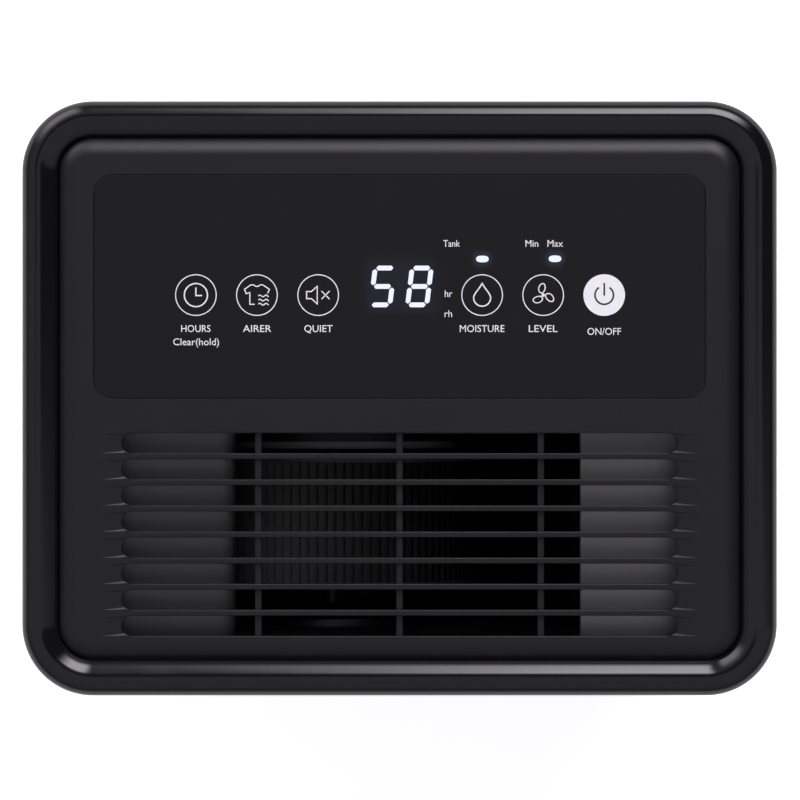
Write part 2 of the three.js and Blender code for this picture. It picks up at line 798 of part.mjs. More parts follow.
// ---------------------------------------------------------------- fan

function scrollShape(grow) {
  const shape = new THREE.Shape();
  const leftX = ductLeft - grow;
  const start = Math.acos((leftX - fanAxisX) / (scrollStart + grow));
  const sweep = 2 * Math.PI - start;
  const steps = 18;
  shape.moveTo(ductRight + grow, flangeTop - grow * 0.4);
  for (let step = steps; step >= 0; step -= 1) {
    const angle = start + sweep * step / steps;
    const radius = scrollStart + grow + scrollGrowth * step / steps;
    shape.lineTo(fanAxisX + radius * Math.cos(angle), fanAxisZ + radius * Math.sin(angle));
  }
  shape.lineTo(leftX, flangeTop - grow * 0.4);
  shape.closePath();
  return shape;
}

// The rounded shoulder between the flange and the left wall of the mouth.
function lipShape() {
  const shape = new THREE.Shape();
  shape.moveTo(ductLeft - mouthLip - 1, flangeTop);
  shape.absarc(ductLeft - mouthLip, flangeTop - mouthLip, mouthLip, Math.PI / 2, 0, true);
  shape.lineTo(ductLeft, flangeTop - 2 * mouthLip - 2);
  shape.lineTo(ductLeft - 1, flangeTop - 2 * mouthLip - 2);
  shape.closePath();
  return shape;
}

function scrollHousing() {
  const outer = prism(scrollShape(wall), "y", [ductFront - wall, scrollRear]);
  const air = prism(scrollShape(0), "y", [ductFront, scrollRear + 1]);
  const flange = prism(roundedShape(grilleX, grilleY, 5), "z", [flangeTop - wall, flangeTop]);
  const mouth = block(
    [ductLeft - mouthLip - 0.5, ductRight],
    [ductFront, scrollRear - seam],
    [flangeTop - 2 * mouthLip, flangeTop + 1]);
  const lip = prism(lipShape(), "y", [ductFront - wall, scrollRear], 3);
  const motorHole = cylinder(
    "y", [fanAxisX, 0, fanAxisZ], motorRadius - 1 + runningGap, [ductFront - wall - 1, ductFront + 1], 24);
  const aboveFlange = block(farX, [-depth, depth], [flangeTop, 2 * height]);
  const opened = outer.subtract(air).add(flange).subtract(mouth).add(lip);
  return opened.subtract(motorHole).subtract(aboveFlange);
}

function bulkhead() {
  const y = [bulkheadFront, bulkheadFront + wall];
  const halfSpan = gripDishX - wall - 1;
  const plate = block([-halfSpan, halfSpan], y, [bayTop + seam, flangeTop - wall - seam]);
  const hole = cylinder("y", [fanAxisX, 0, fanAxisZ], ringRadius, [y[0] - 1, y[1] + 1], 24);
  const notch = block(
    [troughX[0] - 1, troughX[1] + 1], [y[0] - 1, y[1] + 1], [bayTop, trayFloor + troughWallHeight + 2]);
  return plate.subtract(hole).subtract(notch);
}

// The bellmouth that leads air into the blower wheel, with its flange behind the bulkhead.
function inletRing() {
  const flangeY = [bulkheadFront + wall + seam, bulkheadFront + wall + seam + ringThickness];
  const front = bulkheadFront - bellmouthLength;
  const bend = [inletRadius + bellmouthLength, flangeY[1] - bellmouthLength];
  const flangeRadius = ringRadius + ringFlange;
  const profile = [
    [flangeRadius, flangeY[1]],
    ...arc(bend, bellmouthLength, 90, 180, 4),
    [inletRadius, front],
    [inletRadius + ringThickness, front],
    ...arc(bend, bellmouthLength - ringThickness, 180, 90, 4),
    [flangeRadius, flangeY[0]],
  ];
  return revolve(profile, "y", [fanAxisX, 0, fanAxisZ], 24);
}

// One forward-curved blade at the top of the wheel, a crescent in the XZ plane.
function wheelBlade(angle) {
  const outer = wheelRadius - 0.6;
  const inner = outer - wheelBladeDepth;
  const lean = wheelBladeDepth * 0.55;
  const t = wheelBladeThickness;
  const blade = new THREE.Shape();
  blade.moveTo(0, inner);
  blade.quadraticCurveTo(lean * 0.9, inner + wheelBladeDepth * 0.45, -lean * 0.35, outer);
  blade.lineTo(-lean * 0.35 + t * 0.8, outer);
  blade.quadraticCurveTo(lean * 0.9 + t * 1.6, inner + wheelBladeDepth * 0.45, t, inner);
  blade.closePath();
  const solid = prism(blade, "y", [wheelFront + 1, wheelRear - 1], 2);
  return solid.rotate([0, angle, 0]).translate([fanAxisX, 0, fanAxisZ]);
}

const hubRear = wheelRear - 16;

function blowerWheel() {
  const coneY = wheelFront + 16;
  const disc = revolve([
    [wheelRadius, wheelFront],
    [wheelRadius, wheelFront + 2.4],
    [motorRadius + 5, wheelFront + 2.4],
    [22, coneY + 2.4],
    [9, coneY + 2.4],
    [9, hubRear],
    [shaftRadius + seam, hubRear],
    [shaftRadius + seam, coneY],
    [21, coneY],
    [motorRadius + 4, wheelFront],
  ], "y", [fanAxisX, 0, fanAxisZ], 24);
  const ring = revolve([
    [wheelRadius - wheelBladeDepth + 3, wheelRear - 3],
    [wheelRadius + 1, wheelRear - 3],
    [wheelRadius + 1, wheelRear],
    [wheelRadius - wheelBladeDepth + 3, wheelRear],
  ], "y", [fanAxisX, 0, fanAxisZ], 24);
  const blades = Array.from({ length: wheelBladeCount }, (_, i) => wheelBlade(i * 360 / wheelBladeCount));
  return disc.add(ring).add(union(blades));
}

const motorFront = ductFront - wall - seam - motorLength;
const shaftRange = [ductFront - 4, hubRear + 6];

function fanShaft() {
  return cylinder("y", [fanAxisX, 0, fanAxisZ], shaftRadius, shaftRange, 14);
}

function hubNut() {
  const nut = cylinder("y", [fanAxisX, 0, fanAxisZ], 7.5, [hubRear + seam, hubRear + seam + 5], 6);
  const bore = cylinder("y", [fanAxisX, 0, fanAxisZ], shaftRadius + seam, [hubRear - 1, hubRear + 8], 14);
  return nut.subtract(bore);
}

function fanMotor() {
  const face = ductFront - wall - seam;
  const profile = [
    [0, motorFront],
    [motorRadius - 5, motorFront],
    [motorRadius, motorFront + 3],
    [motorRadius, face - 3],
    [motorRadius + 5, face - 3],
    [motorRadius + 5, face],
    [motorRadius - 1, face],
    [motorRadius - 1, ductFront + 3],
    [motorRadius - 12, ductFront + 9],
    [8, ductFront + 9],
    [0, ductFront + 9],
  ];
  const body = revolve(profile, "y", [fanAxisX, 0, fanAxisZ], 18);
  const boreY = [shaftRange[0] - 1, ductFront + 10];
  const bore = cylinder("y", [fanAxisX, 0, fanAxisZ], shaftRadius + runningGap, boreY, 14);
  const grooves = Array.from({ length: motorGrooves }, (_, i) =>
    block([motorRadius - 3, motorRadius + 2], [motorFront + 4, face - 6], [-1.6, 1.6])
      .rotate([0, i * 360 / motorGrooves, 0]).translate([fanAxisX, 0, fanAxisZ]));
  return body.subtract(bore).subtract(union(grooves));
}

// ---------------------------------------------------------------- cold side

// Fins on horizontal passes, an end plate each side and U-bends that join the passes two by two.
function coil(y) {
  const middle = (y[0] + y[1]) / 2;
  const z = [coilBottom, coilTop];
  const pitch = coilPitch;
  const passes = Array.from({ length: tubeRows }, (_, i) => z[0] + pitch * (i + 0.5));
  const fins = Array.from({ length: finCount }, (_, i) => {
    const share = i / (finCount - 1);
    const thickness = i === 0 || i === finCount - 1 ? 1.6 * finThickness : finThickness;
    return block(span(-coilHalfWidth + 2 * coilHalfWidth * share, thickness), y, z);
  });
  const tubes = passes.map((tz) =>
    cylinder("x", [0, middle, tz], tubeRadius, [-coilHalfWidth - 3, coilHalfWidth + 3], 6));
  const bend = (x, side, low) => {
    const path = new THREE.Shape();
    path.absarc(0, 0, pitch / 2 + tubeRadius, -Math.PI / 2, Math.PI / 2, false);
    path.absarc(0, 0, pitch / 2 - tubeRadius, Math.PI / 2, -Math.PI / 2, true);
    path.closePath();
    const squeeze = bendReach / (pitch / 2 + tubeRadius);
    const turned = prism(path, "y", span(0, 1.6 * tubeRadius), 4).scale([squeeze, 1, 1]);
    const placed = side > 0 ? turned : turned.mirror([1, 0, 0]);
    return placed.translate([x, middle, low + pitch / 2]);
  };
  const bends = passes.slice(1).map((tz, i) => {
    const side = i % 2 === 0 ? 1 : -1;
    return bend(side * (coilHalfWidth + 2), side, passes[i]);
  });
  return union([...fins, ...tubes, ...bends]);
}

function dripTray() {
  const x = [-coilHalfWidth - 8, coilHalfWidth + 8];
  const y = [condenserY[0] - 6, evaporatorY[1] + 3];
  const top = trayFloor + trayWallHeight;
  const tray = block(x, y, [trayBottom, top]);
  const hollow = block([x[0] + wall, x[1] - wall], [y[0] + wall, y[1] - wall], [trayFloor, top + 1]);
  const troughTop = trayFloor + troughWallHeight;
  const trough = block(troughX, [troughEndY - troughWidth / 2, y[0] + 1], [trayBottom, troughTop]);
  const channel = block(
    [troughX[0] + wall, troughX[1] - wall],
    [troughEndY - troughWidth / 2 + wall, y[0] + wall + 1],
    [trayFloor, top]);
  const nozzle = block(
    [troughX[0] + 0.4, troughX[1] - 0.4],
    span(troughEndY, troughWidth - 0.8),
    [bayCeiling - 1.5, trayBottom + 1]);
  const drop = block(
    span((troughX[0] + troughX[1]) / 2, 8), span(troughEndY, 8), [bayCeiling - 3, trayFloor + 1]);
  const spout = cylinder("y", [drainX, 0, drainZ], drainRadius, [y[1] - wall, innerY - 4], 16);
  const bore = cylinder("y", [drainX, 0, drainZ], drainRadius - 2, [y[1] - wall - 1, innerY], 16);
  const body = tray.add(trough).add(nozzle).add(spout);
  return body.subtract(hollow).subtract(channel).subtract(drop).subtract(bore);
}

function drainPlug() {
  const end = innerY - 4;
  const profile = [
    [0, end - 12],
    [drainRadius - 3, end - 12],
    [drainRadius - 2.3, end - 8],
    [drainRadius - 2.3, end + seam],
    [drainRadius + 2, end + seam],
    [drainRadius + 2, end + 4],
    [drainRadius, end + 5],
    [0, end + 5],
  ];
  const plug = revolve(profile, "y", [drainX, 0, drainZ], 12);
  const tab = prism(roundedShape(span(drainX, 5), span(drainZ, 12), 2), "y", [end + 4, shellY], 1);
  return plug.add(tab);
}

// ---------------------------------------------------------------- air intake

function intakeGrille() {
  const x = [intakeX[0] + runningGap, intakeX[1] - runningGap];
  const top = intakeTop - runningGap;
  const panel = block(x, [shellY - wall, shellY], [pivotZ, top]);
  const roll = cylinder("x", [0, pivotY, pivotZ], pivotRadius, x, 16);
  const rise = block(x, [pivotY - pivotRadius, shellY], [pivotZ, pivotZ + 4]);
  const skirt = (inset, y) => block(
    [x[0] + inset, x[1] - inset], y, [pivotZ + 3 + inset, top - 1 - inset]);
  const hollow = skirt(1 + wall, [shellY - 12, shellY - wall + 0.01]);
  const frame = skirt(1, [shellY - 11, shellY - 1]).subtract(hollow);
  const pins = cylinder(
    "x", [0, pivotY, pivotZ], pivotPinRadius, [x[0] - pivotPinLength, x[1] + pivotPinLength], 12);
  const field = [pivotZ + 12, top - 8];
  const pitch = (field[1] - field[0]) / intakeRows;
  const slots = [];
  for (let row = 0; row < intakeRows; row += 1) {
    const z = field[0] + pitch * (row + 0.5);
    [-1, 1].forEach((side) => {
      const u = side > 0 ? [3, x[1] - 9] : [x[0] + 9, -3];
      slots.push(block(u, [shellY - wall - 1, depth], span(z, intakeSlotHeight)));
    });
  }
  const pull = cylinder("x", [0, shellY + 3, top - 1], 6, [-14, 14], 16);
  return union([panel, roll, rise, frame, pins]).subtract(union(slots)).subtract(pull);
}

const filterX = [intakeX[0] + runningGap + 1 + wall + seam, intakeX[1] - runningGap - 1 - wall - seam];
const filterZ = [pivotZ + 4 + wall + seam, intakeTop - runningGap - 2 - wall - seam];
const filterY = [shellY - wall - seam - filterThickness, shellY - wall - seam];

function filterFrame() {
  const border = 6.5;
  const halfBar = 1.8;
  let frame = block(filterX, filterY, filterZ);
  const middle = (filterZ[0] + filterZ[1]) / 2;
  [[filterX[0] + border, -halfBar], [halfBar, filterX[1] - border]].forEach((u) => {
    [[filterZ[0] + border, middle - halfBar], [middle + halfBar, filterZ[1] - border]].forEach((v) => {
      frame = frame.subtract(block(u, [filterY[0] - 1, filterY[1] + 1], v));
    });
  });
  return frame;
}

function filterMesh() {
  const y = [filterY[0] - seam - 0.8, filterY[0] - seam];
  return block([filterX[0] + 1, filterX[1] - 1], y, [filterZ[0] + 1, filterZ[1] - 1]);
}

// ---------------------------------------------------------------- compressor and pipes

const footTop = baseTop + 3 + seam + grommetHeight;
const compressorTop = trayBottom - compressorHeadroom;

function compressor() {
  const r = compressorRadius;
  const bottom = footTop + seam;
  const top = compressorTop;
  const profile = [
    [0, bottom],
    [r - 14, bottom],
    ...arc([r - 10, bottom + 14], 10, 270, 360, 2),
    ...arc([r - 18, top - 20], 18, 0, 78, 3),
    [0, top],
  ];
  const can = revolve(profile, "z", [compressorX, compressorY, 0], 16);
  const ears = compressorFeet.map(([x, y]) => {
    const angle = THREE.MathUtils.radToDeg(Math.atan2(y - compressorY, x - compressorX));
    const plate = prism(roundedShape([0, footReach + 9], [-12, 12], 6), "z", [bottom, bottom + 3], 1);
    return plate.rotate([0, 0, angle]).translate([compressorX, compressorY, 0]);
  });
  const holes = compressorFeet.map(([x, y]) => cylinder("z", [x, y, 0], 4, [bottom - 1, bottom + 4], 8));
  const terminals = prism(
    roundedShape(span(compressorX, 30), span(compressorY - 14, 22), 4), "z", [top - 4, top + 8], 1);
  return can.add(union(ears)).add(terminals).subtract(union(holes));
}

function grommet([x, y]) {
  return revolve([
    [3.4, footTop - grommetHeight],
    [grommetRadius, footTop - grommetHeight],
    [grommetRadius, footTop - 8],
    [grommetRadius - 2.5, footTop - 6],
    [grommetRadius, footTop - 4],
    [grommetRadius, footTop],
    [3.4, footTop],
  ], "z", [x, y, 0], 10);
}

const accumulatorX = compressorX + compressorRadius + accumulatorRadius + 7;
const accumulatorZ = accumulatorShare.map((share) => footTop + share * (compressorTop - footTop));

function accumulator() {
  const r = accumulatorRadius;
  const [low, top] = accumulatorZ;
  const can = revolve([
    [0, low], [5, low], [r, low + 12], [r, top - 12], [5, top], [0, top],
  ], "z", [accumulatorX, compressorY, 0], 14);
  const elbow = pipe([
    [accumulatorX, compressorY, low + 3],
    [accumulatorX, compressorY, low - 10],
    [accumulatorX - 8, compressorY, low - 14],
    [compressorX + compressorRadius + 0.8, compressorY, low - 14],
  ], pipeRadius, 6, 8);
  return can.add(elbow);
}

const riserX = coilHalfWidth + bendReach + pipeRadius + 6;
const coilPitch = (coilTop - coilBottom) / tubeRows;
const coilEndX = coilHalfWidth + 3 + seam;

// From a start low in the machine up a riser beside the coils, then into the coil's top pass.
function riser(start, y) {
  const passZ = coilTop - coilPitch / 2;
  const bendZ = trayBottom - 12;
  return pipe([
    ...start,
    [riserX - 22, y, bendZ],
    [riserX - 4, y, bendZ + 2],
    [riserX, y, bendZ + 10],
    [riserX, y, passZ - 14],
    [riserX - 3, y, passZ - 3],
    [coilEndX + 6, y, passZ],
    [coilEndX, y, passZ],
  ], pipeRadius, 6, 24);
}

function suctionPipe() {
  const top = accumulatorZ[1];
  const y = (evaporatorY[0] + evaporatorY[1]) / 2;
  return riser([
    [accumulatorX, compressorY, top + seam],
    [accumulatorX, compressorY, top + 14],
    [accumulatorX + 12, compressorY + 8, top + 34],
  ], y);
}

function dischargePipe() {
  const top = compressorTop;
  const y = (condenserY[0] + condenserY[1]) / 2;
  return riser([
    [compressorX + 22, compressorY + 6, top - 1],
    [compressorX + 22, compressorY + 6, top + 8],
    [compressorX + 34, compressorY + 2, top + 16],
  ], y);
}

function capillaryTube() {
  const from = (condenserY[0] + condenserY[1]) / 2;
  const to = (evaporatorY[0] + evaporatorY[1]) / 2;
  const z = coilBottom + coilPitch / 2;
  return pipe([
    [-coilEndX, from, z],
    [-coilEndX - 8, from, z],
    [-riserX + 4, (from + to) / 2, z - 8],
    [-coilEndX - 8, to, z],
    [-coilEndX, to, z],
  ], capillaryRadius, 6, 14);
}

// ---------------------------------------------------------------- electrics

const controlBoxX = [ductRight + wall + 5, gripDishX - wall - 2];
const controlBoxY = [-innerY + 14, bulkheadFront - 4];
const controlBoxZ = [bayTop + 12, flangeTop - 34];

function controlBox() {
  const shell = prism(roundedShape(controlBoxX, controlBoxY, 4), "z", controlBoxZ, 3);
  const cavity = block(
    [controlBoxX[0] + wall, controlBoxX[1] - wall],
    [controlBoxY[0] - 1, controlBoxY[1] - wall],
    [controlBoxZ[0] + wall, controlBoxZ[1] - wall]);
  return shell.subtract(cavity);
}

function mainBoard() {
  const x = [controlBoxX[0] + wall + 1, controlBoxX[1] - wall - 1];
  const z = [controlBoxZ[0] + wall + 1, controlBoxZ[1] - wall - 1];
  const back = controlBoxY[1] - wall - 6;
  const board = block(x, [back - boardThickness, back], z);
  const relay = block([x[0] + 4, x[0] + 16], [back - 17, back - 1], [z[0] + 8, z[0] + 28]);
  const supply = block([x[0] + 20, x[1] - 4], [back - 26, back - 1], [z[0] + 10, z[0] + 44]);
  const capacitor = cylinder("y", [x[0] + 14, 0, z[1] - 24], 9, [back - 26, back - 1], 16);
  return union([board, relay, supply, capacitor]);
}

const runCapacitor = { x: innerX - 34, y: bayWallY + 34, radius: 16, length: 62 };

function motorCapacitor() {
  const { x, y, radius, length } = runCapacitor;
  const low = baseTop + 2 + seam;
  const can = revolve([
    [0, low], [radius, low], [radius, low + length], [radius - 2, low + length + 2], [0, low + length + 2],
  ], "z", [x, y, 0], 20);
  const terminals = mirroredX((side) => block(
    span(x + side * 5, 1), span(y, 6), [low + length + 1, low + length + 10]));
  return can.add(terminals);
}

function humiditySensor() {
  const y = bulkheadFront + wall + seam;
  const x = fanAxisX + inletRadius + sensorReach;
  const z = fanAxisZ + sensorRise;
  const body = prism(roundedShape(span(x, sensorWidth), span(z, sensorHeight), 3), "y", [y, y + 8], 3);
  const vents = [-6, 0, 6].map((dz) => block(span(x, 10), [y + 4, y + 9], span(z + dz, 2.4)));
  return body.subtract(union(vents));
}

// ---------------------------------------------------------------- assembly

const looks = {
  glossBlack: { color: 0x0b0b0d, roughness: 0.12, metalness: 0 },
  matteBlack: { color: 0x242427, roughness: 0.55, metalness: 0 },
  film: { color: 0x1c1c1f, roughness: 0.4, metalness: 0 },
  inner: { color: 0x2e2e31, roughness: 0.6, metalness: 0 },
  clear: { color: 0x9fa8b0, roughness: 0.1, metalness: 0 },
  board: { color: 0x1f5a38, roughness: 0.5, metalness: 0 },
  fin: { color: 0xc9ccd0, roughness: 0.35, metalness: 1 },
  copper: { color: 0xb87345, roughness: 0.3, metalness: 1 },
  steel: { color: 0x9a9da1, roughness: 0.35, metalness: 1 },
  paint: { color: 0x161618, roughness: 0.4, metalness: 0 },
  rubber: { color: 0x141414, roughness: 0.8, metalness: 0 },
  white: { color: 0xd8dadb, roughness: 0.5, metalness: 0 },
};

function part(name, solid, look) {
  const { vertProperties, triVerts } = solid.getMesh();
  const geometry = new THREE.BufferGeometry();
  geometry.setAttribute("position", new THREE.BufferAttribute(vertProperties, 3));
  geometry.setIndex(new THREE.BufferAttribute(triVerts, 1));
  geometry.computeVertexNormals();
  const material = new THREE.MeshStandardMaterial({ ...looks[look], flatShading: true });
  const mesh = new THREE.Mesh(geometry, material);
  mesh.name = name;
  return mesh;
}

function group(...children) {
  const holder = new THREE.Group();
  holder.add(...children);
  return holder;
}

const cabinet = group(
  part("top_rim", topRim(), "glossBlack"),
  part("top_cover", topCover(), "matteBlack"),
  part("control_film", controlFilm(), "film"),
  part("display_board", displayBoard(), "board"),
  part("digit_display", digitDisplay(), "inner"),
  part("front_shell", frontShell(), "matteBlack"),
  part("rear_shell", rearShell(), "matteBlack"),
  part("grip_left", grip(-1), "inner"),
  part("grip_right", grip(1), "inner"),
  part("cord_gland", cordGland(), "rubber"),
  part("base_pan", basePan(), "inner"),
  part("tank_bay", tankBay(), "inner"),
  part("float_sensor", floatSensor(), "white"),
  part("scroll_housing", scrollHousing(), "inner"),
  part("bulkhead", bulkhead(), "inner"),
  part("inlet_ring", inletRing(), "inner"),
  part("fan_motor", fanMotor(), "steel"),
  part("evaporator", coil(evaporatorY), "fin"),
  part("condenser", coil(condenserY), "fin"),
  part("drip_tray", dripTray(), "white"),
  part("compressor", compressor(), "paint"),
  ...compressorFeet.map((foot, i) => part(`compressor_grommet_${i + 1}`, grommet(foot), "rubber")),
  part("accumulator", accumulator(), "copper"),
  part("suction_pipe", suctionPipe(), "copper"),
  part("discharge_pipe", dischargePipe(), "copper"),
  part("capillary_tube", capillaryTube(), "copper"),
  part("control_box", controlBox(), "white"),
  part("main_board", mainBoard(), "board"),
  part("motor_capacitor", motorCapacitor(), "white"),
  part("humidity_sensor", humiditySensor(), "white"),
);

const fan = group(
  part("blower_wheel", blowerWheel(), "inner"),
  part("fan_shaft", fanShaft(), "steel"),
  part("hub_nut", hubNut(), "steel"),
);

const tank = group(
  part("tank_front", tankFront(), "matteBlack"),
  part("water_tank", waterTank(), "inner"),
  part("level_window", levelWindow(), "clear"),
  part("tank_lid", tankLid(), "inner"),
  part("float", floatArm(), "white"),
  part("float_magnet", floatMagnet(), "steel"),
);

const intake = group(
  part("intake_grille", intakeGrille(), "matteBlack"),
  part("filter_frame", filterFrame(), "inner"),
  part("filter_mesh", filterMesh(), "inner"),
);

const casters = casterSpots.map(({ place, x, y }) => group(
  part(`caster_${place}_fork`, casterHood(x, y), "inner"),
  part(`caster_${place}_wheels`, casterWheels(x, y), "rubber"),
));

export default group(cabinet, fan, tank, intake, part("drain_plug", drainPlug(), "rubber"), ...casters);
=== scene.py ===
import json
import math

import bmesh
import bpy
from mathutils import Matrix, Vector

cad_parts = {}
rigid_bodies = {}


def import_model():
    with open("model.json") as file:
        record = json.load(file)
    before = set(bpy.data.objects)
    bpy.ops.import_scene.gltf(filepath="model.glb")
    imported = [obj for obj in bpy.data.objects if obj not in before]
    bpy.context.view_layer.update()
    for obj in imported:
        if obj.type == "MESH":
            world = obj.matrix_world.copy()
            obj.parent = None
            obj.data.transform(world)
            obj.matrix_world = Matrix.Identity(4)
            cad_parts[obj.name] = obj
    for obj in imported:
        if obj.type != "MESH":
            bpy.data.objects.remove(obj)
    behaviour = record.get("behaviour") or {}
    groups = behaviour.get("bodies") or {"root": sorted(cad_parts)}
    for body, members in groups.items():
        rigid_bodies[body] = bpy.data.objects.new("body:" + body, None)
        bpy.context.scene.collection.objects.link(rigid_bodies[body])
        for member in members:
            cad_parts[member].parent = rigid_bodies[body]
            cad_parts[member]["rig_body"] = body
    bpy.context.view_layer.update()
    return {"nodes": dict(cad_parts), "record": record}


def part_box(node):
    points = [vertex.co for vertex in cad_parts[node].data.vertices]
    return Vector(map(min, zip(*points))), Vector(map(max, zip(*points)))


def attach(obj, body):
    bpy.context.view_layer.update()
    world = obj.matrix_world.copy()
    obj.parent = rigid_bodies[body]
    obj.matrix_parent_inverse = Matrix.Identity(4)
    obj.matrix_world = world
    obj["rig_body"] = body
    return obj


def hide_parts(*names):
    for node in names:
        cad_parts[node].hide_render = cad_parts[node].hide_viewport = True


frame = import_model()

scene = bpy.context.scene
mm = 0.001
print("frame loaded:", len(frame["nodes"]), "nodes")


def boxOf(node):
    low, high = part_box(node)
    return low / mm, high / mm


# ---- shader maths: a socket that takes part in Python arithmetic

class Sock:
    def __init__(self, shader, socket):
        self.shader = shader
        self.socket = socket

    def __abs__(self):
        return self.shader.math("ABSOLUTE", self)


def socketMaths(operation, swapped=False):
    def method(self, other):
        return self.shader.math(operation, *((other, self) if swapped else (self, other)))
    return method


for operator, operation in (
        ("__add__", "ADD"), ("__radd__", "ADD"), ("__sub__", "SUBTRACT"), ("__mul__", "MULTIPLY"),
        ("__rmul__", "MULTIPLY"), ("__truediv__", "DIVIDE"), ("__pow__", "POWER"), ("__gt__", "GREATER_THAN"),
        ("__lt__", "LESS_THAN"), ("__mod__", "FLOORED_MODULO"), ("most", "MAXIMUM")):
    setattr(Sock, operator, socketMaths(operation))
setattr(Sock, "__rsub__", socketMaths("SUBTRACT", True))


class Shader:
    def __init__(self, tree):
        self.tree = tree
        tree.nodes.clear()

    def node(self, kind, settings=None, inputs=None, output=0):
        made = self.tree.nodes.new(kind)
        for key, value in (settings or {}).items():
            setattr(made, key, value)
        for key, value in (inputs or {}).items():
            self.feed(made.inputs[key], value)
        return Sock(self, made.outputs[output]) if len(made.outputs) else made

    def feed(self, socket, value):
        if isinstance(value, Sock):
            self.tree.links.new(value.socket, socket)
        elif socket.type == "RGBA" and len(value) == 3:
            socket.default_value = (*value, 1)
        else:
            socket.default_value = value

    def math(self, operation, *values):
        return self.node("ShaderNodeMath", {"operation": operation}, dict(enumerate(values)))

    def place(self):                       # object coordinates in millimetres
        spot = self.node("ShaderNodeTexCoord", output="Object")
        return self.node("ShaderNodeVectorMath", {"operation": "SCALE"}, {0: spot, "Scale": 1000.0})

    def parts(self, vector):
        split = self.node("ShaderNodeSeparateXYZ", None, {0: vector}).socket.node
        return [Sock(self, split.outputs[i]) for i in range(3)]

    def noise(self, vector, size, detail=2.0, roughness=0.5, stretch=None):
        if stretch:
            vector = self.node("ShaderNodeMapping", None, {"Vector": vector, "Scale": stretch})
        return self.node("ShaderNodeTexNoise", None, {
            "Vector": vector, "Scale": 1.0 / size, "Detail": detail, "Roughness": roughness})

    def smooth(self, value, low, high, out=(0.0, 1.0)):
        return self.node("ShaderNodeMapRange", {"interpolation_type": "SMOOTHSTEP"}, {
            "Value": value, "From Min": low, "From Max": high, "To Min": out[0], "To Max": out[1]})

    def mix(self, factor, first, second):
        node = self.node("ShaderNodeMix", {"data_type": "RGBA"}, {0: factor}, 2).socket.node
        self.feed(node.inputs[6], first)
        self.feed(node.inputs[7], second)
        return Sock(self, node.outputs[2])

    def bump(self, height, depth, strength):
        return self.node("ShaderNodeBump", None,
                         {"Height": height, "Distance": depth * mm, "Strength": strength})


def material(name):
    made = bpy.data.materials.new(name)
    made.use_nodes = True
    return made, Shader(made.node_tree)


def surface(made, shader, inputs):
    body = shader.node("ShaderNodeBsdfPrincipled", None, inputs)
    shader.node("ShaderNodeOutputMaterial", None, {"Surface": body})
    return made


def moulded(name, colour, rough, grain=0.5, depth=0.02, tone=0.12, dust=0.25, sheen=None):
    # moulded plastic: spark-eroded grain, slow drift of tone, faint dust in patches
    made, sh = material(name)
    spot = sh.place()
    fine = sh.noise(spot, grain, 2.0, 0.6)
    slow = sh.noise(spot, 38.0, 3.0, 0.55)
    specks = sh.smooth(sh.noise(spot, 1.7, 4.0, 0.75), 0.66, 0.78)
    patches = sh.smooth(slow, 0.42, 0.68)
    lighter = tuple(c * (1 + tone) + 0.002 for c in colour)
    darker = tuple(c * (1 - tone) for c in colour)
    dusty = tuple(0.75 * c + 0.25 * max(0.12, c) for c in colour)
    base = sh.mix(slow, darker, lighter)
    base = sh.mix(specks * patches * dust, base, dusty)
    inputs = {
        "Base Color": base,
        "Roughness": rough + (fine - 0.5) * 0.10 + specks * patches * 0.12,
        "Normal": sh.bump(fine, depth, 0.8),
        "IOR": 1.47,
    }
    inputs.update(sheen or {})
    return surface(made, sh, inputs)


def metal(name, colour, rough, stretch, scratch=0.012, tarnish=None):
    # drawn or rolled metal: fine lines along the stretch, a cloudier tone, darker tarnish
    made, sh = material(name)
    spot = sh.place()
    lines = sh.noise(spot, 0.8, 3.0, 0.6, stretch)
    cloud = sh.noise(spot, 9.0, 3.0, 0.6)
    stain = sh.smooth(sh.noise(spot, 22.0, 4.0, 0.65), 0.55, 0.75)
    base = sh.mix(cloud, tuple(c * 0.86 for c in colour), colour)
    base = sh.mix(stain * 0.6, base, tarnish or tuple(c * 0.55 for c in colour))
    return surface(made, sh, {
        "Base Color": base, "Metallic": 1.0 - stain * 0.15,
        "Roughness": rough + (lines - 0.5) * 0.18 + stain * 0.2,
        "Normal": sh.bump(lines, scratch, 0.6)})


def glossPaint(name, colour, rough, peel=0.006, coat=0.0):
    # polished plastic or enamel: a faint orange peel and a few hairline wipe marks
    made, sh = material(name)
    spot = sh.place()
    wave = sh.noise(spot, 7.0, 2.0, 0.5)
    hair = sh.smooth(sh.noise(spot, 2.2, 3.0, 0.7, (0.12, 1.0, 1.0)), 0.6, 0.8)
    smear = sh.smooth(sh.noise(spot, 26.0, 3.0, 0.6), 0.45, 0.75)
    base = sh.mix(smear * 0.5, colour, tuple(c + 0.0015 for c in colour))
    return surface(made, sh, {
        "Base Color": base, "Roughness": rough + smear * 0.035 + hair * 0.03,
        "Normal": sh.bump(wave, peel, 0.5), "Coat Weight": coat, "Coat Roughness": 0.04})


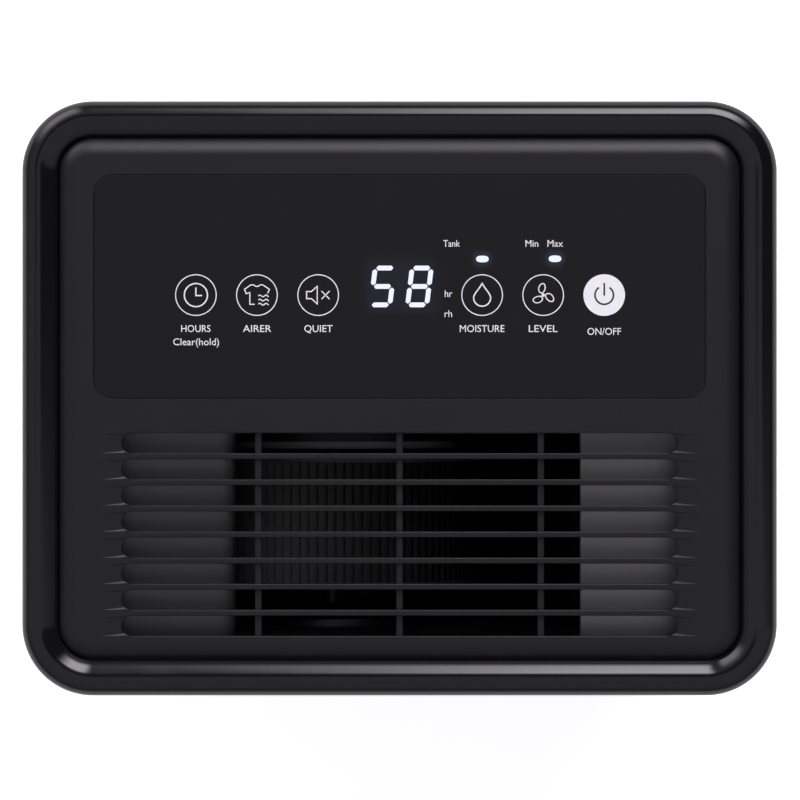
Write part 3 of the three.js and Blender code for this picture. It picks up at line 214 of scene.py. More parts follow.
finishes = {
    "gloss_black": glossPaint("glossBlack", (0.0045, 0.0045, 0.0052), 0.07),
    "cover_black": moulded("coverBlack", (0.0048, 0.0046, 0.0060), 0.38, 0.42, 0.010, 0.10, 0.06,
                           {"IOR": 1.43}),
    "shell_black": moulded("shellBlack", (0.0105, 0.0105, 0.0116), 0.46, 0.55, 0.030, 0.10, 0.15),
    "tank_black": moulded("tankBlack", (0.0098, 0.0098, 0.0108), 0.42, 0.50, 0.025, 0.10, 0.15),
    "inner_black": moulded("innerBlack", (0.018, 0.018, 0.019), 0.52, 0.7, 0.020, 0.14, 0.35),
    "wheel_grey": moulded("wheelGrey", (0.036, 0.036, 0.037), 0.50, 0.8, 0.012, 0.12, 0.35),
    "white_plastic": moulded("whitePlastic", (0.62, 0.61, 0.58), 0.42, 0.7, 0.012, 0.05, 0.2),
    "display_block": moulded("displayBlock", (0.30, 0.30, 0.30), 0.5, 0.6, 0.010, 0.06, 0.2),
    "rubber_black": moulded("rubberBlack", (0.013, 0.013, 0.013), 0.78, 1.1, 0.040, 0.18, 0.6),
    "wheel_plastic": moulded("casterPlastic", (0.020, 0.020, 0.021), 0.50, 0.6, 0.020, 0.15, 0.5),
    "painted_steel": glossPaint("compressorEnamel", (0.010, 0.010, 0.011), 0.32, 0.020, 0.25),
    "fin_aluminium": metal("finAluminium", (0.80, 0.81, 0.83), 0.34, (1.0, 1.0, 0.08)),
    "copper": metal("copperPipe", (0.80, 0.42, 0.26), 0.26, (0.2, 0.2, 1.0), 0.008, (0.32, 0.15, 0.10)),
    "motor_steel": metal("motorSteel", (0.10, 0.10, 0.105), 0.42, (1.0, 0.06, 1.0)),
    "bright_steel": metal("brightSteel", (0.66, 0.66, 0.68), 0.24, (1.0, 0.05, 1.0)),
}


def circuitBoard():
    # solder mask over copper tracks: straight runs on a coarse grid and a sprinkle of round pads
    made, sh = material("circuitBoard")
    spot = sh.place()
    u, v, w = sh.parts(spot)
    flow = u + w
    runs = sh.smooth(abs(v % 2.4 - 1.2), 0.42, 0.34) * sh.smooth(sh.noise(spot, 13.0, 1.0), 0.5, 0.53)
    rows = sh.smooth(abs(flow % 3.1 - 1.55), 0.36, 0.28) * sh.smooth(sh.noise(spot, 17.0, 1.0), 0.54, 0.57)
    cell = sh.node("ShaderNodeTexVoronoi", {"feature": "F1"},
                   {"Vector": spot, "Scale": 0.26, "Randomness": 0.7})
    pads = sh.smooth(cell, 0.16, 0.13)
    track = runs.most(rows)
    base = sh.mix(track * 0.7, (0.008, 0.055, 0.022), (0.018, 0.11, 0.045))
    base = sh.mix(pads, base, (0.55, 0.56, 0.55))
    return surface(made, sh, {
        "Base Color": base, "Metallic": pads * 0.9,
        "Roughness": 0.34 + pads * 0.1 + sh.noise(spot, 3.0) * 0.06,
        "Normal": sh.bump(track + pads * 2.0, 0.03, 0.6)})


def clearPlastic(name, colour, rough, weight):
    # see-through moulding: tinted, slightly wavy, with handling haze
    made, sh = material(name)
    spot = sh.place()
    haze = sh.smooth(sh.noise(spot, 16.0, 3.0, 0.6), 0.45, 0.75)
    base = sh.mix(haze * 0.3, colour, tuple(min(1.0, c * 1.1 + 0.01) for c in colour))
    return surface(made, sh, {
        "Base Color": base, "Transmission Weight": weight, "IOR": 1.5,
        "Roughness": rough + haze * 0.06, "Normal": sh.bump(sh.noise(spot, 9.0), 0.02, 0.4)})


def filterNet():
    # woven net: threads both ways with open holes between them
    made, sh = material("filterNet")
    spot = sh.place()
    u, w = sh.parts(spot)[::2]
    pitch = 1.3
    across = abs(u % pitch - pitch / 2) / (pitch / 2)
    upright = abs(w % pitch - pitch / 2) / (pitch / 2)
    thread = sh.smooth(across.most(upright), 0.62, 0.72)
    lint = sh.smooth(sh.noise(spot, 11.0, 4.0, 0.7), 0.58, 0.8)
    base = sh.mix(lint * 0.5, (0.020, 0.020, 0.022), (0.16, 0.155, 0.15))
    return surface(made, sh, {
        "Base Color": base, "Roughness": 0.62 + lint * 0.2, "Alpha": thread.most(lint * 0.35),
        "Normal": sh.bump(across * 0.5 + upright * 0.5, 0.10, 0.7)})


def ductPaintedLightFinish():
    # outlet duct moulding: pale satin flange at the top, with painted light that makes it paler to the right
    # and along the rear row of slots; painted shade makes it darker down inside, where it is also a little
    # dusty
    made, sh = material("ductGreyPaintedLight")
    spot = sh.place()
    x, y, z = sh.parts(spot)
    fine = sh.noise(spot, 0.9, 2.0, 0.6)
    slow = sh.noise(spot, 38.0, 3.0, 0.55)
    dust = sh.smooth(sh.noise(spot, 3.0, 4.0, 0.7), 0.55, 0.8)
    # painted light: the flange paler towards the right
    pale = sh.mix(sh.smooth(x + slow * 8.0, -60.0, 60.0), (0.075, 0.075, 0.078), (0.182, 0.181, 0.186))
    # painted light: the rear row of slots, which the cover shades, made paler, more so on the right
    pale = sh.mix(sh.smooth(y, -26.0, -14.0), pale, sh.mix(x > 0.0, (0.25, 0.25, 0.256), (0.37, 0.37, 0.375)))
    deep = sh.mix(dust * 0.3, (0.0060, 0.0060, 0.0064), (0.014, 0.014, 0.014))
    return surface(made, sh, {
        # painted shade: the duct darker below the flange, down inside
        "Base Color": sh.mix(sh.smooth(z, 465.0, 471.5), deep, pale),
        "Roughness": 0.42 + (fine - 0.5) * 0.1 + dust * 0.1,
        "Normal": sh.bump(fine, 0.016, 0.8), "IOR": 1.47})


finishes["duct_grey"] = ductPaintedLightFinish()
finishes["circuit_board"] = circuitBoard()
finishes["clear_plastic"] = clearPlastic("clearWindow", (0.62, 0.66, 0.70), 0.06, 0.9)
finishes["tank_smoke"] = clearPlastic("smokedTank", (0.16, 0.17, 0.18), 0.14, 0.75)
finishes["filter_net"] = filterNet()
finishes["film_black"] = moulded("filmPlain", (0.0040, 0.0040, 0.0046), 0.38, 0.30, 0.004, 0.06, 0.10)
print("finishes made:", len(finishes))


# ---- mesh making: everything in millimetres, scaled once when the mesh is made

def roundedRect(x, y, radius, steps=12):
    points = []
    for corner, (cx, cy) in enumerate([(x[1], y[0]), (x[1], y[1]), (x[0], y[1]), (x[0], y[0])]):
        sx = -1 if cx == x[1] else 1
        sy = 1 if cy == y[0] else -1
        for step in range(steps + 1):
            turn = math.radians(90 * (corner - 1 + step / steps))
            points.append((cx + sx * radius + radius * math.cos(turn),
                           cy + sy * radius + radius * math.sin(turn)))
    return points


def around(middle, half):
    return middle - half, middle + half


def grown(low, high, by):
    return low - by, high + by


def rectAt(x, y, radius, z, steps=12):
    return [(px, py, z) for px, py in roundedRect(x, y, radius, steps)]


def ring(half, radius, inset, z, steps=12, centre=(0, 0)):
    cx, cy = centre
    x = (cx - half[0] + inset, cx + half[0] - inset)
    y = (cy - half[1] + inset, cy + half[1] - inset)
    return rectAt(x, y, max(radius - inset, 0.05), z, steps)


def arcPoints(centre, radius, start, end, steps):
    return [(centre[0] + radius * math.cos(math.radians(start + (end - start) * i / steps)),
             centre[1] + radius * math.sin(math.radians(start + (end - start) * i / steps)))
            for i in range(steps + 1)]


def linked(name, data):
    made = bpy.data.objects.new(name, data)
    scene.collection.objects.link(made)
    return made


def meshOf(thing):
    # a thing's mesh with its modifiers, or a curve's outline as a mesh
    view = bpy.context.evaluated_depsgraph_get()
    view.update()
    return bpy.data.meshes.new_from_object(thing.evaluated_get(view))


def makeObject(name, points, faces, weld=True):
    mesh = bpy.data.meshes.new(name)
    mesh.from_pydata([tuple(c * mm for c in p) for p in points], [], faces)
    made = linked(name, mesh)
    if weld:
        tidyMesh(made)
    return made


def tidyMesh(thing, dissolve=None):
    work = bmesh.new()
    work.from_mesh(thing.data)
    bmesh.ops.remove_doubles(work, verts=work.verts, dist=2e-6)
    bmesh.ops.dissolve_degenerate(work, edges=work.edges, dist=1e-6)
    if dissolve:
        bmesh.ops.dissolve_limit(work, angle_limit=math.radians(dissolve), verts=work.verts, edges=work.edges)
    bmesh.ops.recalc_face_normals(work, faces=work.faces)
    work.to_mesh(thing.data)
    work.free()


def loft(name, rings, closed=False, caps=(True, True)):
    count = len(rings[0])
    points = [p for one in rings for p in one]
    faces = []
    for i in range(len(rings) if closed else len(rings) - 1):
        low, high = i * count, (i + 1) % len(rings) * count
        for j in range(count):
            k = (j + 1) % count
            faces.append((low + j, low + k, high + k, high + j))
    if not closed:
        ends = tuple(reversed(range(count))), tuple(range((len(rings) - 1) * count, len(rings) * count))
        faces += [end for end, capped in zip(ends, caps) if capped]
    return makeObject(name, points, faces)


def turned(name, profile, axis, centre, segments=48, closed=False):
    # profile of (radius, distance along the axis), turned about the axis
    def spot(radius, along, turn):
        a, b = radius * math.cos(turn), radius * math.sin(turn)
        if axis == "x":
            return (along, centre[1] + a, centre[2] + b)
        if axis == "y":
            return (centre[0] + a, along, centre[2] + b)
        return (centre[0] + a, centre[1] + b, along)
    rings = [[spot(r, along, 2 * math.pi * i / segments) for i in range(segments)] for r, along in profile]
    return loft(name, rings, closed, [radius > 0.01 for radius, along in (profile[0], profile[-1])])


def prism(name, outline, axis, span):
    # an outline in the two axes that are left, pushed along the named one
    def spot(u, v, along):
        return {"x": (along, u, v), "y": (u, along, v), "z": (u, v, along)}[axis]
    return loft(name, [[spot(u, v, along) for u, v in outline] for along in span])


def blockOf(name, x, y, z):
    return prism(name, [(x[0], y[0]), (x[1], y[0]), (x[1], y[1]), (x[0], y[1])], "z", z)


def tube(name, path, radius, sides=14, perSpan=10):
    # a round tube along a smooth curve through the path's points
    pts = [Vector(p) for p in path]
    curve = []
    for i in range(len(pts) - 1):
        p0, p1, p2, p3 = pts[max(i - 1, 0)], pts[i], pts[i + 1], pts[min(i + 2, len(pts) - 1)]
        for step in range(perSpan):
            t = step / perSpan
            m1, m2 = (p2 - p0) * 0.42, (p3 - p1) * 0.42
            a, b = 2 * t ** 3 - 3 * t ** 2 + 1, t ** 3 - 2 * t ** 2 + t
            c, d = -2 * t ** 3 + 3 * t ** 2, t ** 3 - t ** 2
            curve.append(p1 * a + m1 * b + p2 * c + m2 * d)
    curve.append(pts[-1])
    along = (curve[1] - curve[0]).normalized()
    side = along.orthogonal().normalized()
    rings = []
    for i, spot in enumerate(curve):
        ahead = (curve[min(i + 1, len(curve) - 1)] - curve[max(i - 1, 0)]).normalized()
        side = (side - ahead * side.dot(ahead)).normalized()
        up = ahead.cross(side)
        rings.append([
            tuple(spot + (side * math.cos(2 * math.pi * j / sides)
                          + up * math.sin(2 * math.pi * j / sides)) * radius)
            for j in range(sides)])
    return loft(name, rings)


def combined(name, things):
    # several meshes as one piece
    work = bmesh.new()
    for thing in things:
        work.from_mesh(thing.data)
        bpy.data.objects.remove(thing)
    mesh = bpy.data.meshes.new(name)
    work.to_mesh(mesh)
    work.free()
    return linked(name, mesh)


def carve(thing, cutters, how="DIFFERENCE"):
    # one exact boolean with every cutter, applied to the mesh
    pile = bpy.data.collections.new("cutters")
    scene.collection.children.link(pile)
    for cutter in cutters:
        scene.collection.objects.unlink(cutter)
        pile.objects.link(cutter)
    cut = thing.modifiers.new("cut", "BOOLEAN")
    cut.operation = how
    cut.solver = "EXACT"
    if len(cutters) == 1:
        cut.object = cutters[0]
    else:
        cut.operand_type = "COLLECTION"
        cut.collection = pile
    applied(thing)
    for cutter in cutters:
        bpy.data.objects.remove(cutter)
    bpy.data.collections.remove(pile)
    return thing


def applied(thing):
    baked = meshOf(thing)
    thing.modifiers.clear()
    old = thing.data
    thing.data = baked
    bpy.data.meshes.remove(old)
    return thing


slotOf = {entry["node"]: entry["material_slot"] for entry in frame["record"]["subparts"]}


def finished(thing, node=None, edge=0.0, segments=2, limit=40, sharp=32, look=None, slotName=None):
    # smooth shading with true flats, an optional small edge radius, then its place in the frame;
    # body and slot are those of the node it replaces, or the cabinet and the slot given
    slotName = slotName or slotOf[node]
    mesh = thing.data
    mesh.materials.clear()
    mesh.materials.append(look or finishes[slotName])
    mesh.shade_smooth()
    mesh.set_sharp_from_angle(angle=math.radians(sharp))
    if edge:
        bevel = thing.modifiers.new("edges", "BEVEL")
        bevel.width = edge * mm
        bevel.segments = segments
        bevel.limit_method = "ANGLE"
        bevel.angle_limit = math.radians(limit)
        bevel.use_clamp_overlap = True
        bevel.harden_normals = False
    weights = thing.modifiers.new("flats", "WEIGHTED_NORMAL")
    weights.keep_sharp = True
    weights.weight = 60
    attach(thing, frame["nodes"][node]["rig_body"] if node else "cabinet")
    if node:
        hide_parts(node)
    return thing


def refined(node, edge):
    # the CAD solid's own form with welded faces and broken edges
    thing = linked(node + "Shell", frame["nodes"][node].data.copy())
    tidyMesh(thing, 1.5)
    return finished(thing, node, edge, limit=32)


# ---- glossy rim round the top

rimValues = {"corner": 30.0, "gap": 0.7, "outerArc": 7.0, "innerArc": 11.0, "lipRadius": 0.5, "wall": 2.5,
             "ledge": 15.0, "ledgeReach": 3.0, "cornerSteps": 28}


def topRim():
    v = rimValues
    low, high = boxOf("top_rim")
    half = (high.x, high.y)
    cover = boxOf("top_cover")[1]
    wide = high.x - cover.x - v["gap"]
    fall = math.degrees(math.asin((wide - v["outerArc"]) / v["innerArc"]))
    outer = arcPoints((v["outerArc"], high.z - v["outerArc"]), v["outerArc"], 180, 90, 18)
    inner = arcPoints((v["outerArc"], high.z - v["innerArc"]), v["innerArc"], 90, 90 - fall, 16)[1:]
    ex, ez = inner[-1]
    ledge = high.z - v["ledge"]
    lip = [(ex + v["lipRadius"] * 0.05, ez - 0.10), (ex, ez - 0.45)]
    profile = [(0, low.z), *outer, *inner[:-1], (ex - 0.22, ez + 0.2), *lip, (wide, ledge),
               (wide + v["ledgeReach"], ledge), (wide + v["ledgeReach"], ledge - v["wall"]),
               (wide - v["wall"], ledge - v["wall"]), (wide - v["wall"], high.z - v["outerArc"] - v["wall"]),
               (v["wall"], high.z - v["outerArc"] - v["wall"]), (v["wall"], low.z)]
    rings = [ring(half, v["corner"], inset, z, v["cornerSteps"]) for inset, z in profile]
    thing = loft("rimBead", rings, True)
    return finished(thing, "top_rim", sharp=38)


topRim()
print("rim made")


# ---- top cover: soft shoulder, eight outlet slots with scooped ends, three ribs under the bars

coverValues = {
    "rimWidth": 15.4, "shoulder": 10.0, "skin": 3.2, "slotCorner": 4.1, "recessCorner": 8.2, "slots": 8,
    "slotWidth": 8.58, "slotPitch": 11.04, "endMargin": 26.2,
    "frontMargin": 9.4, "barDepth": 7.0, "barEdge": 0.42, "scoopLength": 8.4, "scoopDepth": 1.4,
    "ribWidth": 3.0, "ribSpacing": 59.8, "ribDrop": 2.6, "filmInset": 0.45, "filmGroove": 0.28,
    "filmEdge": 0.12,
}


def trumpet(name, x, y, radius, top, bottom, edge, steps=7, cornerSteps=10):
    # a cutter whose mouth flares, so what is left has a rounded edge
    rings = [rectAt(x, y, radius, bottom, cornerSteps)]
    for step in range(steps + 1):
        turn = math.radians(90 * step / steps)
        grow = edge * (1 - math.cos(turn))
        mouth = grown(*x, grow), grown(*y, grow), radius + grow
        rings.append(rectAt(*mouth, top - edge + edge * math.sin(turn), cornerSteps))
    rings.append(rectAt(*mouth, top + 1, cornerSteps))
    return loft(name, rings)


def scoop(side, slotEnd, y, values, top):
    # deepest at the slot, nothing at its far end; the front side slopes back, the rear side is a low step
    half = values["slotWidth"] / 2
    length = values["slotWidth"] / 2 + values["scoopLength"]
    rings = []
    steps = 10
    for step in range(steps + 1):
        share = step / steps
        x = side * (slotEnd - half + length * share)
        drop = values["scoopDepth"] * (1 - share) ** 1.15 + 0.015
        front = y - half - 0.35 * (1 - share)
        rear = y + half - 0.9 * share
        rings.append([(x, front, top + 1), (x, front, top), (x, front + 0.35 * drop, top - 0.55 * drop),
                      (x, front + drop, top - 0.9 * drop), (x, front + 1.7 * drop, top - drop),
                      (x, rear, top - drop * 0.55), (x, rear + 0.05, top), (x, rear + 0.05, top + 1)])
    return loft("scoop", rings if side > 0 else rings[::-1])


def topCover():
    v = coverValues
    low, high = boxOf("top_cover")
    half = (high.x, high.y)
    top = high.z
    corner = rimValues["corner"] - v["rimWidth"] - rimValues["gap"]
    edge = arcPoints((v["shoulder"], top - v["shoulder"]), v["shoulder"], 135, 90, 16)
    start = edge[0][0]
    inner = v["skin"]
    rings = [ring(half, corner, inner + 5, top - v["skin"], 14),
             ring(half, corner, inner, top - v["skin"] - 4, 14),
             ring(half, corner, inner, low.z, 14),
             ring(half, corner, 0, low.z, 14)]
    rings += [ring(half, corner, inset - start, z, 14) for inset, z in edge]
    cover = loft("coverPlate", rings)
    slotEnd = high.x - v["endMargin"]
    firstY = low.y + v["frontMargin"]
    lastY = firstY + (v["slots"] - 1) * v["slotPitch"] + v["slotWidth"]
    backing = blockOf("backing", (-slotEnd - 4, slotEnd + 4), grown(firstY, lastY, 3.5),
                      (top - v["barDepth"], top - 2))
    carve(cover, [backing], "UNION")
    cutters = []
    for i in range(v["slots"]):
        y = firstY + v["slotWidth"] / 2 + i * v["slotPitch"]
        span = around(y, v["slotWidth"] / 2)
        cutters.append(trumpet("slot", (-slotEnd, slotEnd), span, v["slotCorner"], top,
                               top - v["barDepth"] - 1, v["barEdge"]))
    film = boxOf("control_film")
    groove = v["filmGroove"] - v["filmInset"]
    cutters.append(trumpet("recess", grown(film[0].x, film[1].x, groove), grown(film[0].y, film[1].y, groove),
                           v["recessCorner"], top, top - 1.5, v["filmEdge"], 5, 14))
    carve(cover, cutters)
    scoops = [scoop(side, slotEnd, firstY + v["slotWidth"] / 2 + i * v["slotPitch"], v, top)
              for i in range(v["slots"]) for side in (-1, 1)]
    carve(cover, scoops)
    tidyMesh(cover)
    ribs = []
    for x in (-v["ribSpacing"], 0, v["ribSpacing"]):
        wide = v["ribWidth"] / 2
        z = top - v["ribDrop"]
        outline = [(x - wide, top - v["barDepth"] + 0.1), (x + wide, top - v["barDepth"] + 0.1),
                   (x + wide, z - 0.6), (x + wide - 0.18, z - 0.18), (x + wide - 0.6, z), (x - wide + 0.6, z),
                   (x - wide + 0.18, z - 0.18), (x - wide, z - 0.6)]
        ribs.append(prism("rib", outline, "y", grown(firstY, lastY, 0.8)))
    cover = combined("coverPlate", [cover, *ribs])
    return finished(cover, "top_cover")


topCover()
print("cover made")


# ---- control film: smoked satin sheet with printed rings, pictures and words, lit digits and lamps

filmValues = {
    "corner": 7.5, "edge": 0.12, "ringRadius": 8.80, "ringStroke": 0.42, "ringRow": 43.65,
    "ringPlaces": (-86.1, -60.3, -34.4, 34.9, 60.7, 86.5), "iconStroke": 0.57, "inkHeight": 0.03,
    "letterWeight": 0.002, "digitPlaces": (-7.2, 8.4), "digitRow": 47.3, "digitSize": (8.1, 15.55),
    "digitBar": 2.02, "digitGap": 0.56, "digitSlant": 7.0, "lamps": ((35.0, 58.9), (65.7, 59.0)),
    "lampSize": (5.3, 2.8), "digitColour": (0.84, 0.87, 1.0), "lampColour": (0.80, 0.90, 1.0),
    "lampSquareness": 0.78, "signStroke": 0.75, "glow": 0.04,
    "words": (("HOURS", (-86.1, 29.5), 2.9, 12.4), ("Clear(hold)", (-86.0, 23.9), 2.9, 19.4),
              ("AIRER", (-60.2, 29.5), 2.9, 12.0), ("QUIET", (-34.3, 29.5), 2.9, 12.0),
              ("MOISTURE", (34.9, 29.5), 2.9, 18.9), ("LEVEL", (60.7, 29.5), 2.9, 12.2),
              ("ON/OFF", (86.5, 28.3), 2.9, 14.2), ("Tank", (22.0, 65.5), 2.8, 7.0),
              ("Min", (55.9, 65.5), 2.8, 5.4), ("Max", (65.8, 65.5), 2.8, 6.6),
              ("hr", (20.7, 44.3), 2.9, 3.2), ("rh", (20.6, 35.8), 2.9, 3.2)),
}


def filmFinish():
    v = filmValues
    made, sh = material("smokedFilm")
    spot = sh.place()
    x, y = sh.parts(spot)[:2]
    fine = sh.noise(spot, 0.35, 2.0, 0.6)
    slow = sh.noise(spot, 45.0, 2.0, 0.5)
    smear = sh.smooth(sh.noise(spot, 14.0, 4.0, 0.62), 0.5, 0.72)
    base = sh.mix(slow, (0.0030, 0.0029, 0.0036), (0.0042, 0.0041, 0.0050))

    def haze(cx, cy, hx, hy, reach):
        dx = (abs(x - cx) - hx).most(0.0)
        dy = (abs(y - cy) - hy).most(0.0)
        away = (dx * dx + dy * dy) ** 0.5
        return sh.smooth(away, reach, 0.0) ** 2.2

    # painted light: a glow of the lit digits and lamps spilling into the film around them, given to the film
    # as emission
    glow = haze(0.6, v["digitRow"], 11.5, 8.0, 9.0) * 0.45
    for cx, cy in v["lamps"]:
        glow = glow + haze(cx, cy, v["lampSize"][0] / 2 - 1.4, 0.3, 5.5) * 2.6
    return surface(made, sh, {
        "Base Color": base, "Roughness": 0.34 + (fine - 0.5) * 0.08 + smear * 0.03, "IOR": 1.38,
        "Normal": sh.bump(fine, 0.006, 0.7),
        "Emission Color": sh.mix(glow, (0.0, 0.0, 0.0), (0.30, 0.33, 0.70)),
        "Emission Strength": v["glow"]})


def inkFinish(name, colour):
    # screen-printed ink: a little uneven where the mesh laid it
    made, sh = material(name)
    spot = sh.place()
    weave = sh.noise(spot, 0.22, 2.0, 0.5)
    thin = sh.smooth(sh.noise(spot, 1.3, 3.0, 0.6), 0.3, 0.7)
    base = sh.mix(thin, tuple(c * 0.96 for c in colour), colour)
    return surface(made, sh, {
        "Base Color": base, "Roughness": 0.5 + (weave - 0.5) * 0.2, "Normal": sh.bump(weave, 0.002, 0.4)})


def printed(thing, name, colour):
    return finished(thing, slotName="film_black", look=inkFinish(name, colour), sharp=30)


def lit(thing, name, colour):
    # a light guide behind smoked film, a little uneven along its length
    made, sh = material(name)
    spot = sh.place()
    patch = sh.noise(spot, 1.6, 2.0, 0.5)
    glow = sh.mix(patch, tuple(c * 0.86 for c in colour), colour)
    look = surface(made, sh, {
        "Base Color": sh.mix(patch, (0.10, 0.11, 0.12), (0.13, 0.14, 0.15)), "Roughness": 0.35 + patch * 0.1,
        "Emission Color": glow, "Emission Strength": 1.0})
    return finished(thing, slotName="display_block", look=look, sharp=30)


def slab(name, outline, z, high):
    return prism(name, outline, "z", (z, z + high))


def ribbon(name, line, width, z, high, closed=False):
    # a flat line of ink through 2D points, with mitred joints
    count = len(line)
    left, right = [], []
    for i, point in enumerate(line):
        here = Vector(point)
        before = Vector(line[i - 1]) if closed or i else here
        after = Vector(line[(i + 1) % count]) if closed or i < count - 1 else here
        a = (here - before).normalized() if (here - before).length > 1e-6 else (after - here).normalized()
        b = (after - here).normalized() if (after - here).length > 1e-6 else a
        lean = (a + b).normalized() if (a + b).length > 1e-6 else a
        side = Vector((-lean.y, lean.x))
        reach = width / 2 / max(0.45, side.dot(Vector((-a.y, a.x))))
        left.append(here + side * reach)
        right.append(here - side * reach)
    rings = [[(*right[i], z), (*right[i], z + high), (*left[i], z + high), (*left[i], z)]
             for i in range(count)]
    return loft(name, rings, closed)


def circle(cx, cy, radius, steps=48, start=0, sweep=360):
    points = arcPoints((cx, cy), radius, start, start + sweep, steps)
    return points[:-1] if sweep == 360 else points


def word(text, centre, cap, width, z, high, weight):
    # a built-in letter outline, made a mesh, then fitted to its height and width
    def shape(body):
        curve = bpy.data.curves.new("letters", "FONT")
        curve.body = body
        curve.extrude = 0.02
        curve.offset = weight
        curve.resolution_u = 3
        holder = linked("letters", curve)
        mesh = meshOf(holder)
        bpy.data.objects.remove(holder)
        return mesh
    capital = shape("H")
    tall = max(p.co.y for p in capital.vertices)
    mesh = shape(text)
    xs = [p.co.x for p in mesh.vertices]
    wide, middle = max(xs) - min(xs), (max(xs) + min(xs)) / 2
    for point in mesh.vertices:
        point.co = ((point.co.x - middle) / wide * width * mm + centre[0] * mm,
                    (point.co.y / tall - 0.5) * cap * mm + centre[1] * mm,
                    (z + (high if point.co.z > 0 else 0)) * mm)
    made = linked("word", mesh)
    tidyMesh(made)
    return made


def pictures(v, z, high):
    # own plain pictures: clock, shirt and warm air, crossed loudspeaker, drop, three-blade fan
    row = v["ringRow"]
    clockX, shirtX, hushX, dropX, fanX = v["ringPlaces"][:5]
    made = []

    def line(middle, points, share=1.0, closed=False):
        moved = [(middle + x, row + y) for x, y in points]
        made.append(ribbon("line", moved, v["iconStroke"] * share, z, high, closed))

    line(clockX, circle(0, 0, 4.9, 40), closed=True)
    line(clockX, [(0, 3.2), (0, -0.2), (2.6, -0.2)])
    line(shirtX, [(-0.9, -3.9), (-3.0, -3.9), (-3.0, 1.1), (-4.5, 0.6), (-5.3, 2.4), (-2.6, 4.3), (-1.3, 4.3),
                  (-0.6, 3.7), (0.6, 3.7), (1.3, 4.3), (2.6, 4.3), (5.3, 2.4), (4.5, 0.7)], 0.8)
    for drop in (0.0, -1.75, -3.5):
        line(shirtX, [(0.6 + t * 0.34, -0.35 + drop + 0.36 * math.sin(t * 0.82)) for t in range(14)], 0.8)
    line(hushX, [(-4.9, 1.5), (-2.9, 1.5), (-0.4, 3.7), (-0.4, -3.7), (-2.9, -1.5), (-4.9, -1.5)], 0.85, True)
    line(hushX, [(1.4, 1.7), (4.8, -1.7)], 0.85)
    line(hushX, [(1.4, -1.7), (4.8, 1.7)], 0.85)
    drop = []
    for i in range(40):
        turn = math.radians(360 * i / 40)
        pull = max(0.0, math.sin(turn)) ** 2.6
        drop.append((3.6 * math.cos(turn) * (1 - 0.80 * pull), -1.2 + 3.5 * math.sin(turn) + 2.6 * pull))
    line(dropX, drop, 1.0, True)
    for turn in (90, 210, 330):
        blade = []
        c, d = math.cos(math.radians(turn)), math.sin(math.radians(turn))
        for i in range(26):
            a = 2 * math.pi * i / 26
            u, s = 2.9 + 2.0 * math.cos(a), 1.35 * math.sin(a) + 0.75 * math.sin(a / 2)
            blade.append((u * c - s * d, u * d + s * c))
        line(fanX, blade, 0.8, True)
    made.append(slab("fanHub", circle(fanX, row, 0.75, 20), z, high))
    return made


def digitBars(middle, row, size, bar, gap, slant, which):
    # the bars of one seven-bar digit: long, clipped at both ends, leaned over
    x, y = size[0] / 2, size[1] / 2
    lean = math.tan(math.radians(slant))
    ends = {"top": ((-x, y), (x, y)), "middle": ((-x, 0), (x, 0)), "foot": ((-x, -y), (x, -y)),
            "upLeft": ((-x, 0), (-x, y)), "upRight": ((x, 0), (x, y)),
            "lowLeft": ((-x, -y), (-x, 0)), "lowRight": ((x, -y), (x, 0))}
    bars = []
    for name in which:
        start, end = (Vector(e) for e in ends[name])
        along = (end - start).normalized()
        side = Vector((-along.y, along.x))
        start, end = start + along * gap, end - along * gap
        half, tip = bar / 2, bar * 0.40
        shape = [start - side * 0.18, start + along * tip * 0.86 - side * half,
                 end - along * tip * 0.86 - side * half,
                 end - side * 0.18, end + side * 0.18, end - along * tip * 0.86 + side * half,
                 start + along * tip * 0.86 + side * half, start + side * 0.18]
        bars.append([(middle + p.x + p.y * lean, row + p.y) for p in shape])
    return bars


